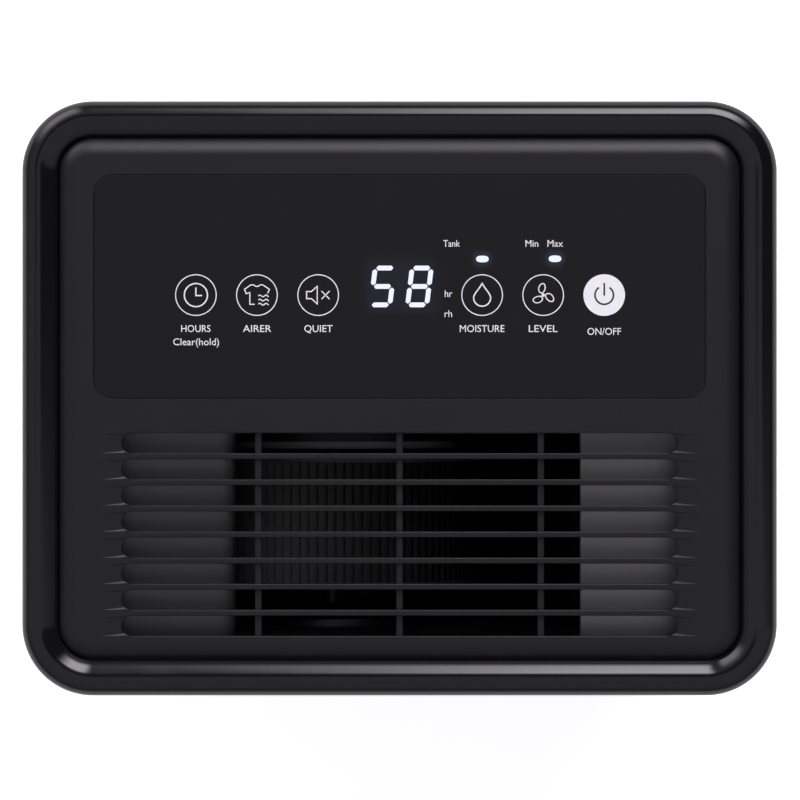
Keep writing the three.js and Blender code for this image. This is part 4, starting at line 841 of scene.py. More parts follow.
def controlFilm():
    v = filmValues
    low, high = boxOf("control_film")
    centre = ((low.x + high.x) / 2, (low.y + high.y) / 2)
    half = ((high.x - low.x) / 2 - coverValues["filmInset"], (high.y - low.y) / 2 - coverValues["filmInset"])
    steps = [(0, low.z), (0, high.z - v["edge"])]
    steps += [(v["edge"] * (1 - math.cos(math.radians(t))),
               high.z - v["edge"] + v["edge"] * math.sin(math.radians(t)))
              for t in (22, 45, 67, 90)]
    film = loft("controlFilm", [ring(half, v["corner"], inset, z, 14, centre) for inset, z in steps])
    finished(film, "control_film", sharp=35, look=filmFinish())
    z, tall = high.z + 0.005, v["inkHeight"]
    ink = [ribbon("ring", circle(cx, v["ringRow"], v["ringRadius"] - v["ringStroke"] / 2, 72),
                  v["ringStroke"], z, tall, True)
           for cx in v["ringPlaces"][:5]]
    ink += pictures(v, z, tall)
    for text, spot, cap, width in v["words"]:          # cap height and the whole word's width
        ink.append(word(text, spot, cap, width, z, tall, v["letterWeight"]))
    printed(combined("filmPrint", ink), "silverInk", (0.88, 0.88, 0.90))
    px, py, stroke = v["ringPlaces"][5], v["ringRow"], v["signStroke"]
    disc = slab("powerDisc", circle(px, py, v["ringRadius"], 72), z, tall)
    printed(disc, "whiteInk", (0.93, 0.94, 0.95))
    sign = [ribbon("powerRing", circle(px, py, 3.9, 40, 125, 290), stroke, z + tall, 0.02),
            ribbon("powerLine", [(px, py + 5.1), (px, py - 0.2)], stroke, z + tall, 0.02)]
    printed(combined("powerSign", sign), "darkInk", (0.012, 0.012, 0.014))
    bars = []
    for middle, which in zip(v["digitPlaces"], (
            ("top", "upLeft", "middle", "lowRight", "foot"),
            ("top", "upLeft", "upRight", "middle", "lowLeft", "lowRight", "foot"))):
        bars += digitBars(middle, v["digitRow"], v["digitSize"], v["digitBar"], v["digitGap"],
                          v["digitSlant"], which)
    digits = combined("litDigits", [slab("bar", shape, z, tall) for shape in bars])
    lit(digits, "litDigit", v["digitColour"])
    halfWide, halfTall = (size / 2 for size in v["lampSize"])

    def bulge(share):                      # between an ellipse and a stadium
        return math.copysign(abs(share) ** v["lampSquareness"], share)
    lamps = []
    for cx, cy in v["lamps"]:
        turns = [math.radians(360 * i / 36) for i in range(36)]
        outline = [(cx + halfWide * bulge(math.cos(t)), cy + halfTall * bulge(math.sin(t))) for t in turns]
        lamps.append(slab("lamp", outline, z, tall))
    lit(combined("litLamps", lamps), "litLamp", v["lampColour"])


controlFilm()
print("control film made")


# ---- repeated parts: one Geometry Nodes tree that sets copies of a piece on the points of a mesh

def repeatTree():
    tree = bpy.data.node_groups.new("copiesOnPoints", "GeometryNodeTree")
    face = tree.interface
    for name, kind in (("Points", "NodeSocketGeometry"), ("Source", "NodeSocketObject"),
                       ("Look", "NodeSocketMaterial"),
                       ("Wobble", "NodeSocketFloat"), ("Seed", "NodeSocketInt")):
        face.new_socket(name=name, in_out="INPUT", socket_type=kind)
    face.new_socket(name="Copies", in_out="OUTPUT", socket_type="NodeSocketGeometry")
    made = {}

    def add(key, kind, settings=None, inputs=None):
        node = tree.nodes.new(kind)
        for setting, value in (settings or {}).items():
            setattr(node, setting, value)
        for socket, value in (inputs or {}).items():
            if isinstance(value, tuple) and len(value) == 2 and value[0] in made:
                tree.links.new(made[value[0]].outputs[value[1]], node.inputs[socket])
            else:
                node.inputs[socket].default_value = value
        made[key] = node

    add("in", "NodeGroupInput")
    add("turn", "GeometryNodeInputNamedAttribute", {"data_type": "FLOAT_VECTOR"}, {"Name": "turn"})
    add("size", "GeometryNodeInputNamedAttribute", {"data_type": "FLOAT_VECTOR"}, {"Name": "size"})
    add("chance", "FunctionNodeRandomValue", {"data_type": "FLOAT_VECTOR"}, {
        "Min": (-1.0, -1.0, -1.0), "Max": (1.0, 1.0, 1.0), "Seed": ("in", "Seed")})
    add("nudge", "ShaderNodeVectorMath", {"operation": "SCALE"},
        {0: ("chance", "Value"), "Scale": ("in", "Wobble")})
    add("turned", "ShaderNodeVectorMath", {"operation": "ADD"},
        {0: ("turn", "Attribute"), 1: ("nudge", "Vector")})
    add("source", "GeometryNodeObjectInfo", None, {"Object": ("in", "Source")})
    add("copies", "GeometryNodeInstanceOnPoints", None, {
        "Points": ("in", "Points"), "Instance": ("source", "Geometry"), "Rotation": ("turned", "Vector"),
        "Scale": ("size", "Attribute")})
    add("real", "GeometryNodeRealizeInstances", None, {"Geometry": ("copies", "Instances")})
    add("look", "GeometryNodeSetMaterial", None,
        {"Geometry": ("real", "Geometry"), "Material": ("in", "Look")})
    out = tree.nodes.new("NodeGroupOutput")
    tree.links.new(made["look"].outputs["Geometry"], out.inputs["Copies"])
    return tree


copiesTree = repeatTree()
upright = (0, 0, 0), (1, 1, 1)         # turn and size of a copy left as it is


def repeated(name, source, places, slotName, wobble=0.0, seed=7):
    # places: (spot in mm, turn in degrees about x, y, z, size along x, y, z)
    points = makeObject(name, [spot for spot, turn, size in places], [], False)
    turns = points.data.attributes.new("turn", "FLOAT_VECTOR", "POINT")
    sizes = points.data.attributes.new("size", "FLOAT_VECTOR", "POINT")
    turns.data.foreach_set("vector", [math.radians(a) for spot, turn, size in places for a in turn])
    sizes.data.foreach_set("vector", [s for spot, turn, size in places for s in size])
    nodes = points.modifiers.new("copies", "NODES")
    nodes.node_group = copiesTree
    inputs = {item.name: item.identifier for item in copiesTree.interface.items_tree
              if item.in_out == "INPUT"}
    nodes[inputs["Source"]] = source
    nodes[inputs["Look"]] = finishes[slotName]
    nodes[inputs["Wobble"]] = wobble
    nodes[inputs["Seed"]] = seed
    applied(points)
    bpy.data.objects.remove(source)
    return points


# ---- fan: scroll housing with its flange, inlet ring, blower wheel, motor

fanValues = {
    "tongueOffset": 39.5, "clearance": 8.0, "growth": 31.5, "wall": 2.5, "steps": 96, "mouthLip": 7.0,
    "blades": 108, "bladeDepth": 11.0, "bladeThickness": 0.7, "bladeSweep": 8.6, "bellmouth": 8.0,
    "ringThickness": 1.8, "mouthMargin": 8.6, "motorDepth": 17.0, "motorFlange": 5, "vents": 18,
    # the two lip edges bound the painted highlight on the inlet ring's lip; blur is the blend width of the
    # painted highlight on the wheel's rim
    "lipHighlightEdges": (-18.6, -19.8), "wheelRim": 3.8, "blur": 0.2,
}


def fanAxis():
    low, high = boxOf("blower_wheel")
    return (low.x + high.x) / 2, (low.z + high.z) / 2, (high.x - low.x) / 2 - 1


def scrollOutline(grow, top):
    # spiral wall from the right of the mouth, under the wheel and up to the tongue
    v = fanValues
    axisX, axisZ, reach = fanAxis()
    left = axisX - v["tongueOffset"] - grow
    near = reach + v["clearance"] + grow
    start = math.acos((left - axisX) / near)
    points = [(axisX + near + v["growth"], top)]
    for step in range(v["steps"], -1, -1):
        share = step / v["steps"]
        turn = start + (2 * math.pi - start) * share
        radius = near + v["growth"] * share
        points.append((axisX + radius * math.cos(turn), axisZ + radius * math.sin(turn)))
    points.append((left, top))
    return points


def scrollHousing():
    v = fanValues
    low, high = boxOf("scroll_housing")
    bulkhead = boxOf("bulkhead")[0]
    axisX, axisZ, reach = fanAxis()
    top = high.z
    front, rear = boxOf("top_cover")[0].y + v["mouthMargin"], bulkhead.y - 0.4
    left, right = axisX - v["tongueOffset"], axisX + reach + v["clearance"] + v["growth"]
    housing = prism("scrollHousing", scrollOutline(v["wall"], top - 0.5), "y", (front - v["wall"], rear))
    flange = prism("flange", roundedRect((low.x, high.x), (low.y, high.y), 5.0, 10), "z",
                   (top - v["wall"], top))
    lip = blockOf("lip", (left - v["mouthLip"] - 1.5, left + 0.5), (front - v["wall"], rear),
                  (top - v["mouthLip"] - 2, top - 0.2))
    carve(housing, [flange, lip], "UNION")
    radius = v["mouthLip"]
    curve = arcPoints((left - radius, top - radius), radius, 0, 90, 14)
    rightCurve = arcPoints((right + 0.8, top - 0.8), 0.8, 180, 90, 4)
    mouth = [(left, top - 22), *curve, (left - radius, top + 1), (right + 0.8, top + 1), *rightCurve[::-1],
             (right, top - 22)]
    cutters = [prism("air", scrollOutline(0, top - 12), "y", (front, rear + 1)),
               prism("mouth", mouth, "y", (front, rear - 0.1))]
    motor = boxOf("fan_motor")
    hole = (motor[1].x - motor[0].x) / 2 - v["motorFlange"] - 1 + 0.6
    cutters.append(turned("motorHole", [(hole, front - v["wall"] - 1), (hole, front + 1)], "y",
                          (axisX, 0, axisZ), 72))
    carve(housing, cutters)
    return finished(housing, "scroll_housing", 0.35)


def edgeHighlightFinish(name, edges, dark, pale):
    # moulding that is dark and dull, darker in slow patches, with a painted highlight: a pale band along its
    # open edge
    made, sh = material(name)
    spot = sh.place()
    y = sh.parts(spot)[1]
    fine = sh.noise(spot, 0.9, 2.0, 0.6)
    slow = sh.noise(spot, 30.0, 3.0, 0.55)
    # painted highlight: pale beyond the given edges along y, dark elsewhere
    colour = sh.mix(sh.smooth(y, *edges), (dark,) * 3, (pale,) * 3)
    return surface(made, sh, {
        "Base Color": sh.mix(slow * 0.3, colour, (dark * 0.7,) * 3), "Roughness": 0.45 + (fine - 0.5) * 0.1,
        "Normal": sh.bump(fine, 0.014, 0.8), "IOR": 1.47})


def inletRing():
    v = fanValues
    low, high = boxOf("inlet_ring")
    axisX, axisZ = fanAxis()[:2]
    flange = (high.x - low.x) / 2
    throat = flange - v["bellmouth"] - 7
    bend = (throat + v["bellmouth"], high.y - v["bellmouth"])
    t = v["ringThickness"]
    tip = arcPoints((throat + t / 2, low.y + t / 2), t / 2, 180, 360, 6)
    profile = [(flange - 0.3, high.y), *arcPoints(bend, v["bellmouth"], 90, 180, 14), *tip,
               *arcPoints(bend, v["bellmouth"] - t, 180, 90, 12), (flange, high.y - t),
               (flange, high.y - 0.3)]
    thing = turned("inletRing", profile, "y", (axisX, 0, axisZ), 96, True)
    # painted highlight: a pale band on the ring's open lip
    return finished(thing, "inlet_ring", look=edgeHighlightFinish("inletRing", v["lipHighlightEdges"], 0.0046, 0.42))


def blowerWheel():
    v = fanValues
    low, high = boxOf("blower_wheel")
    axisX, axisZ, reach = fanAxis()
    cone = low.y + 16
    hub = high.y - 16
    disc = turned("disc", [
        (reach - 0.4, low.y), (reach, low.y + 0.4), (reach, low.y + 2.4), (45, low.y + 2.4),
        (40, low.y + 4.6), (24, cone + 1.2), (20, cone + 2.4), (10.5, cone + 2.4), (9, cone + 4),
        (9, hub - 0.6), (8.4, hub), (4.4, hub), (4.4, cone), (19, cone), (23, cone - 1.2),
        (38.5, low.y + 2.6), (43, low.y)], "y", (axisX, 0, axisZ), 96, True)
    inner = reach - v["bladeDepth"]
    face = high.y - v["wheelRim"]
    rim = turned("rim", [(inner + 3, face), (reach + 0.7, face), (reach + 1, face + 0.4),
                         (reach + 1, high.y - 0.4), (reach + 0.6, high.y), (inner + 3.4, high.y),
                         (inner + 3, high.y - 0.4)], "y", (axisX, 0, axisZ), 96, True)
    sweep, t = v["bladeSweep"], v["bladeThickness"]
    outer = reach - 0.6

    def side(shift, push):
        ends = [(shift, inner), (0.8 + push, inner + v["bladeDepth"] * 0.85), (sweep + shift * 0.4, outer)]
        curve = []
        for step in range(9):
            s = step / 8
            across, out = (ends[0][k] * (1 - s) ** 2 + 2 * ends[1][k] * s * (1 - s) + ends[2][k] * s * s
                           for k in (0, 1))
            curve.append((-across, out))
        return curve
    blade = prism("blade", [*side(0, 0), *side(t, t * 1.6)[::-1]], "y", grown(low.y, high.y, -1))
    count = v["blades"]
    places = [((axisX, 0, axisZ), (0, 360 * i / count, 0), (1, 1, 1)) for i in range(count)]
    blades = repeated("blades", blade, places, "wheel_grey")
    thing = combined("blowerWheel", [disc, rim, blades])
    # painted highlight: a paler band at the wheel's rim
    look = edgeHighlightFinish("blowerWheel", (face - v["blur"], face), 0.037, 0.085)
    return finished(thing, "blower_wheel", look=look)


def fanMotor():
    v = fanValues
    low, high = boxOf("fan_motor")
    axisX, axisZ = fanAxis()[:2]
    wide = (high.x - low.x) / 2
    can = wide - v["motorFlange"]
    face = low.y + v["motorDepth"]
    body = turned("motorCan", [
        (4.6, low.y + 0.6), (10, low.y), (can - 6, low.y), (can - 2.4, low.y + 0.8), (can - 0.6, low.y + 2.4),
        (can, low.y + 4.5), (can, face - 3.6), (wide - 0.8, face - 3), (wide, face - 2.4), (wide, face),
        (can - 1, face), (can - 1, high.y - 6), (can - 3, high.y - 4.4), (can - 12, high.y), (8, high.y),
        (4.6, high.y)], "y", (axisX, 0, axisZ), 72, True)
    slots = []
    for i in range(v["vents"]):
        turn = 360 * i / v["vents"]
        slot = blockOf("vent", (can - 2.2, can + 2), grown(low.y, face, -6.5), (-1.3, 1.3))
        slot.data.transform(
            Matrix.Translation((axisX * mm, 0, axisZ * mm)) @ Matrix.Rotation(math.radians(turn), 4, "Y"))
        slots.append(slot)
    carve(body, slots)
    return finished(body, "fan_motor", 0.25)


scrollHousing()
inletRing()
blowerWheel()
fanMotor()
print("fan made")


# ---- shells: two halves of one loop with rolled corners, soft-edged openings, screws and a plain label

shellValues = {
    "corner": 28.8, "wall": 2.5, "lipInset": 1.7, "lipWall": 4.1, "cornerSteps": 22, "edge": 0.45,
    "bayGap": 1.0, "bayCorner": 5.0, "gripGap": 0.4, "gripCorner": 10.9, "drainHole": 12.0,
    "glandHole": 8.4, "pinHole": 2.5, "pinReach": 5.0, "screwX": 124.0, "screwRows": (52.0, 250.0, 456.0),
    "screwRadius": 3.2, "screwWell": 4.3, "wellDepth": 1.7, "labelX": (-66.0, 6.0), "labelZ": (92.0, 138.0),
}


def rod(name, axis, centre, radius, span, segments=40):
    return turned(name, [(radius, span[0]), (radius, span[1])], axis, centre, segments)


def middleOf(node):
    low, high = boxOf(node)
    return (low + high) / 2


def shellLoop(name):
    v = shellValues
    low, high = boxOf("rear_shell")
    rim = boxOf("top_rim")[0].z
    profile = [(0, low.z), (0, rim - 0.4), (v["lipInset"], rim - 0.4), (v["lipInset"], high.z),
               (v["lipWall"], high.z), (v["lipWall"], rim - 6), (v["wall"], rim - 8), (v["wall"], low.z)]
    rings = [ring((high.x, high.y), v["corner"], inset, z, v["cornerSteps"]) for inset, z in profile]
    return loft(name, rings, True)


def frontShell():
    v = shellValues
    low, high = boxOf("front_shell")
    tankLow, tankHigh = boxOf("tank_front")
    gap = v["bayGap"]
    shell = shellLoop("frontShell")
    opening = roundedRect(grown(tankLow.x, tankHigh.x, gap), (low.z - 20, tankHigh.z + gap - 0.4),
                          v["bayCorner"], 8)
    carve(shell, [blockOf("behind", (-300, 300), (high.y, 300), (-50, 600)),
                  prism("bay", opening, "y", (low.y - 20, low.y + v["wall"] + 4))])
    return finished(shell, "front_shell", v["edge"], 3)


def rearShell():
    v = shellValues
    low, high = boxOf("rear_shell")
    grilleLow, grilleHigh = boxOf("intake_grille")
    wide = grilleHigh.x - v["pinReach"] + 0.6
    pivot = (0, high.y - 4, grilleLow.z + 4)
    inside = high.y - v["wall"]
    lugs = [blockOf("lug", tuple(sorted((side * (wide + 0.8), side * (wide + 8)))),
                    (pivot[1] - 6, inside + 1),
                    around(pivot[2], 7)) for side in (-1, 1)]
    sill = blockOf("sill", (-20, 20), (inside - 3, inside + 1), (grilleHigh.z + 3.6, grilleHigh.z + 6.6))
    shell = shellLoop("rearShell")
    carve(shell, [*lugs, sill], "UNION")
    cutters = [blockOf("ahead", (-300, 300), (-300, low.y), (-50, 600)),
               prism("intake", roundedRect((-wide, wide), grown(grilleLow.z, grilleHigh.z, 0.6), 1.2, 4), "y",
                     around(high.y, 20)),
               rod("pins", "x", pivot, v["pinHole"], (-125, 125), 24)]
    for node in ("grip_left", "grip_right"):
        a, b = boxOf(node)
        g = v["gripGap"]
        side = (a.x - 5, b.x + 20) if a.x > 0 else (a.x - 20, b.x + 5)
        cutters.append(prism("grip", roundedRect(grown(a.y, b.y, g), grown(a.z, b.z, g), v["gripCorner"], 12),
                             "x", side))
    cutters.append(rod("drain", "y", middleOf("drain_plug"), v["drainHole"], grown(inside, high.y, 5), 48))
    cutters.append(rod("gland", "y", middleOf("cord_gland"), v["glandHole"], grown(inside, high.y, 5), 40))
    spots = [(side * v["screwX"], z) for side in (-1, 1) for z in v["screwRows"]]
    for x, z in spots:
        cutters.append(turned("well", [(v["screwWell"] - 0.5, high.y - v["wellDepth"]),
                                       (v["screwWell"], high.y + 0.01),
                                       (v["screwWell"] + 1, high.y + 2)], "y", (x, 0, z), 32))
    carve(shell, cutters)
    finished(shell, "rear_shell", v["edge"], 3)
    screws([((x, high.y - v["wellDepth"], z), (0, 37 * i, 0)) for i, (x, z) in enumerate(spots)],
           v["screwRadius"], "rearScrews")


def screws(places, radius, name):
    # pan heads with a cross recess, facing +Y, each turned to its own angle
    head = turned("head", [(0.01, 0.05), (radius, 0.05), (radius, 0.5), (radius * 0.86, 1.0),
                           (radius * 0.5, 1.3), (0.01, 1.4)],
                  "y", (0, 0, 0), 28)
    arm = radius * 0.62
    carve(head, [blockOf("slotA", (-arm, arm), (0.7, 2), (-0.42, 0.42)),
                 blockOf("slotB", (-0.42, 0.42), (0.7, 2), (-arm, arm))])
    made = repeated(name, head, [(spot, turn, (1, 1, 1)) for spot, turn in places], "motor_steel")
    return finished(made, slotName="motor_steel", edge=0.08, segments=1, look=screwSteel)


screwSteel = metal("blackScrew", (0.05, 0.05, 0.053), 0.38, (1.0, 1.0, 1.0), 0.006)


def labelFinish():
    # a silver foil label printed with an empty frame and rules
    made, sh = material("ratingLabel")
    v = shellValues
    spot = sh.place()
    x, z = sh.parts(spot)[::2]
    cx, cz = sum(v["labelX"]) / 2, sum(v["labelZ"]) / 2
    hx, hz = (v["labelX"][1] - v["labelX"][0]) / 2, (v["labelZ"][1] - v["labelZ"][0]) / 2
    edge = (abs(x - cx) - hx + 2.2).most(abs(z - cz) - hz + 2.2)
    frameLine = sh.smooth(abs(edge), 0.32, 0.22)
    rules = sh.smooth(abs((z + 1.0) % 6.5 - 3.25), 0.24, 0.16) * (edge < -2.5)
    ruled = frameLine.most(rules)
    grain = sh.noise(spot, 0.5, 2.0, 0.6, (0.15, 1.0, 1.0))
    base = sh.mix(grain, (0.30, 0.30, 0.31), (0.38, 0.38, 0.39))
    return surface(made, sh, {
        "Base Color": sh.mix(ruled, base, (0.02, 0.02, 0.022)), "Metallic": 0.55 - ruled * 0.5,
        "Roughness": 0.36 + grain * 0.12, "Normal": sh.bump(grain, 0.006, 0.5)})


def ratingLabel():
    v = shellValues
    high = boxOf("rear_shell")[1]
    plate = prism("ratingLabel", roundedRect(v["labelX"], v["labelZ"], 2.0, 6), "y",
                  (high.y + 0.02, high.y + 0.10))
    return finished(plate, slotName="shell_black", look=labelFinish())


def gripCups():
    for node in ("grip_left", "grip_right"):
        low, high = boxOf(node)
        cup = prism(node + "Cup", roundedRect((low.y, high.y), (low.z, high.z), 10.4, 14), "x",
                    (low.x, high.x))
        wall = shellValues["wall"]
        span = (low.x + wall, high.x + 5) if low.x > 0 else (low.x - 5, high.x - wall)
        hollow = roundedRect(grown(low.y, high.y, -wall), grown(low.z, high.z, -wall), 8.0, 14)
        carve(cup, [prism("hand", hollow, "x", span)])
        finished(cup, node, 0.9, 3)


def cordGland():
    low, high = boxOf("cord_gland")
    face = boxOf("rear_shell")[1].y
    inside = face - shellValues["wall"]
    bore = 3.6
    profile = [(bore, low.y), (6.0, low.y), (7.6, inside - 0.4), (8.0, inside - 0.3), (8.0, face + 0.4),
               (11.0, face + 0.4), (11.0, face + 0.6), (10.6, high.y - 0.25), (10.2, high.y),
               (bore + 1.2, high.y), (bore + 0.5, high.y - 0.3), (bore, high.y - 1.0)]
    gland = turned("cordGland", profile, "y", middleOf("cord_gland"), 64, True)
    return finished(gland, "cord_gland")


frontShell()
rearShell()
ratingLabel()
gripCups()
cordGland()
refined("base_pan", 0.5)
print("shells made")


# ---- rear intake: hinged louvre, filter frame and net

intakeValues = {"rows": 13, "slotHeight": 6.4, "slotCorner": 1.6, "edge": 0.4, "wall": 2.5, "roll": 4.0,
                "pin": 1.9, "pinReach": 5.0}


def intakeGrille():
    v = intakeValues
    low, high = boxOf("intake_grille")
    x = grown(low.x, high.x, -v["pinReach"])
    pivot = (0, high.y - v["roll"], low.z + v["roll"])
    top = high.z
    panel = blockOf("intakeLouvre", x, (high.y - v["wall"], high.y), (pivot[2], top))
    roll = rod("roll", "x", pivot, v["roll"], x, 40)
    rise = blockOf("rise", x, (pivot[1] - v["roll"], high.y), (pivot[2], pivot[2] + 4))
    pins = rod("pins", "x", pivot, v["pin"], (low.x, high.x), 28)
    skirt = blockOf("skirt", grown(x[0], x[1], -1), (high.y - 11, high.y - 1), (pivot[2] + 4, top - 2))
    inset = 1 + v["wall"]
    hollow = blockOf("hollow", grown(x[0], x[1], -inset), (high.y - 12, high.y - v["wall"]),
                     (pivot[2] + 3 + inset, top - 1 - inset))
    carve(skirt, [hollow])
    carve(panel, [skirt, roll, rise, pins], "UNION")
    field = (pivot[2] + 12, top - 8)
    pitch = (field[1] - field[0]) / v["rows"]
    cutters = []
    for row in range(v["rows"]):
        z = field[0] + pitch * (row + 0.5)
        for u in ((3, x[1] - 9), (x[0] + 9, -3)):
            shape = roundedRect(u, around(z, v["slotHeight"] / 2), v["slotCorner"], 5)
            cutters.append(prism("slot", shape, "y", (high.y - v["wall"] - 1, high.y + 5)))
    cutters.append(rod("pull", "x", (0, high.y + 3, top - 1), 6, (-14, 14), 40))
    carve(panel, cutters)
    return finished(panel, "intake_grille", v["edge"])


intakeGrille()
refined("filter_frame", 0.5)
refined("filter_mesh", 0.0)
print("intake made")


# ---- casters: twin wheels with a rolled tread and a dished hub, on a hooded swivel fork

casterValues = {"hood": 11.0, "web": 5.0, "cheek": 6.0, "stem": 4.0, "plate": 3.0, "axle": 2.6, "pin": 2.0,
                "treadRoll": 1.6, "dish": 1.3, "hub": 4.4, "spokes": 5}


def casterFork(place):
    v = casterValues
    node = "caster_" + place + "_fork"
    low, high = boxOf(node)
    wheelLow, wheelHigh = boxOf("caster_" + place + "_wheels")
    x = (low.x + high.x) / 2
    axleY, axleZ = (wheelLow.y + wheelHigh.y) / 2, (wheelLow.z + wheelHigh.z) / 2
    y = low.y + v["hood"]
    top = boxOf("base_pan")[0].z
    outline = [*arcPoints((axleY, axleZ), v["cheek"], 180, 360, 16), (axleY + v["cheek"], top - 4.5),
               (axleY + v["cheek"] - 1.5, top - v["plate"]), (y - 7, top - v["plate"]), (y - 7, top - 7),
               *[(y - 7 + (axleY - v["cheek"] - y + 7) * (1 - math.cos(t * 0.39)),
                  top - 8 - (top - 8 - axleZ) * math.sin(t * 0.39))
                 for t in range(1, 4)]]
    web = prism("web", outline, "x", around(x, v["web"] / 2))
    plate = turned(node + "Hood", [(v["hood"] - 0.4, top - v["plate"]), (v["hood"], top - v["plate"] + 0.4),
                                   (v["hood"], top - 0.9), (v["hood"] - 0.9, top), (v["stem"] + 0.8, top),
                                   (v["stem"], top + 0.8), (v["stem"], top + 5.2),
                                   (v["stem"] - 0.7, top + 5.6), (v["stem"] - 0.7, top + 6.2),
                                   (v["stem"], top + 6.6), (v["stem"] - 0.8, high.z)], "z", (x, y, 0), 48)
    carve(plate, [web], "UNION")
    carve(plate, [rod("axle", "x", (0, axleY, axleZ), v["axle"], around(x, v["web"]), 32)])
    finished(plate, node, 0.3)


def casterWheels(place):
    v = casterValues
    node = "caster_" + place + "_wheels"
    low, high = boxOf(node)
    x = (low.x + high.x) / 2
    middle = (0, (low.y + high.y) / 2, (low.z + high.z) / 2)
    radius, inner, outer = (high.z - low.z) / 2, v["web"] / 2 + 0.6, (high.x - low.x) / 2
    roll, dish, hub = v["treadRoll"], v["dish"], v["hub"]
    things = []
    for side in (-1, 1):
        profile = [(v["pin"], inner), (radius - 0.8, inner), (radius, inner + 0.8), (radius, inner + 3.4),
                   (radius - 0.35, inner + 3.7), (radius - 0.35, inner + 4.3), (radius, inner + 4.6),
                   *arcPoints((radius - roll, outer - roll), roll, 0, 90, 6), (radius - 3.2, outer),
                   (radius - 3.8, outer - dish), (hub + 0.5, outer - dish), (hub, outer - 0.3),
                   (hub - 0.3, outer), (v["pin"], outer)]
        things.append(turned("wheel", [(r, x + side * a) for r, a in profile], "x", middle, 56, True))
    pin = turned("pin", [(0.01, x - outer + 0.2), (v["pin"] - 0.2, x - outer + 0.2),
                         (v["pin"], x - outer + 0.5), (v["pin"], x + outer - 0.5),
                         (v["pin"] - 0.2, x + outer - 0.2), (0.01, x + outer - 0.2)], "x", middle, 24)
    ribs = blockOf("rib", (-0.2, dish), (-0.45, 0.45), (hub - 0.2, radius - 3.4))
    spots = [((x + side * (outer - dish) if side > 0 else x - outer + 0.05, middle[1], middle[2]),
              (360 * i / v["spokes"] + 20, 0, 0), (0.9, 1, 1))
             for side in (-1, 1) for i in range(v["spokes"])]
    spokes = repeated("spokes", ribs, spots, "wheel_plastic")
    finished(combined(node + "Twin", [*things, pin, spokes]), node)


for place in ("front_left", "front_right", "rear_left", "rear_right"):
    casterFork(place)
    casterWheels(place)
print("casters made")


# ---- water tank: front panel with its finger pocket, smoked bucket, lid, level window, float

tankValues = {
    "plate": 2.3, "plateCorner": 6.0, "wall": 2.2, "corner": 5.2, "pocket": (92.0, 20.0),
    "pocketDepth": 20.0, "pocketCorner": 9.0, "window": (-103.5, -87.5, 66.4, 186.7), "lid": 3.0,
    "spout": (-85.5, 44.0, 24.0), "funnel": (66.0, -68.65, 34.0), "pivot": (85.5, -28.5, 214.7),
    "foot": 2.4, "marks": 8,
}


def pocketOutline(grow):
    v = tankValues
    top = boxOf("water_tank")[1].z - 3
    wide, tall = v["pocket"]
    return roundedRect((-wide / 2 - grow, wide / 2 + grow), (top - tall - grow, top + grow),
                       v["pocketCorner"] + grow, 12)


def tankFront():
    v = tankValues
    low, high = boxOf("tank_front")
    back = low.y + v["plate"]
    plate = prism("tankPanel", roundedRect((low.x, high.x), (low.z, high.z), v["plateCorner"], 12), "y",
                  (low.y, back))
    carve(plate, [prism("cup", pocketOutline(v["wall"]), "y",
                        (low.y + 1, low.y + v["pocketDepth"] + v["wall"]))], "UNION")
    left, right, foot, head = v["window"]
    carve(plate, [prism("hand", pocketOutline(0), "y", (low.y - 1, low.y + v["pocketDepth"])),
                  prism("sight", roundedRect((left, right), (foot, head), 2.2, 6), "y",
                        grown(low.y, back, 1))])
    finished(plate, "tank_front", 0.5, 3)


def bucketOutline(grow):
    v = tankValues
    low, high = boxOf("water_tank")
    return roundedRect(grown(low.x, high.x, grow), grown(low.y, high.y, grow), v["corner"] + grow, 10)


def waterTank():
    v = tankValues
    low, high = boxOf("water_tank")
    wall, foot = v["wall"], v["foot"]
    levels = [(-foot, low.z), (-foot * 0.3, low.z + foot * 0.3), (0, low.z + foot), (0, high.z),
              (-wall, high.z), (-wall, low.z + wall + 2.4), (-wall - 0.7, low.z + wall + 0.7),
              (-wall - 2.4, low.z + wall)]
    bucket = loft("smokedBucket", [[(x, y, z) for x, y in bucketOutline(grow)] for grow, z in levels])
    notch = blockOf("notch", (-v["pocket"][0] / 2 - wall - 1, v["pocket"][0] / 2 + wall + 1),
                    (low.y - 1, low.y + wall + 1),
                    (high.z - 3 - v["pocket"][1] - wall - 1, high.z + 1))
    carve(bucket, [notch])
    finished(bucket, "water_tank", 0.3)


def levelWindow():
    # a clear strip with raised level marks moulded on the inside face
    v = tankValues
    low, high = boxOf("level_window")
    strip = prism("levelStrip", roundedRect((low.x, high.x), (low.z, high.z), 2.0, 6), "y", (low.y, high.y))
    step = (high.z - low.z - 16) / (v["marks"] - 1)
    grooves = [blockOf("mark", (high.x - (7.5 if i % 2 else 4.5), high.x - 1.6), (low.y - 1, low.y + 0.35),
                       (low.z + 8 + i * step - 0.4, low.z + 8 + i * step + 0.4)) for i in range(v["marks"])]
    carve(strip, grooves)
    finished(strip, "level_window", 0.2)


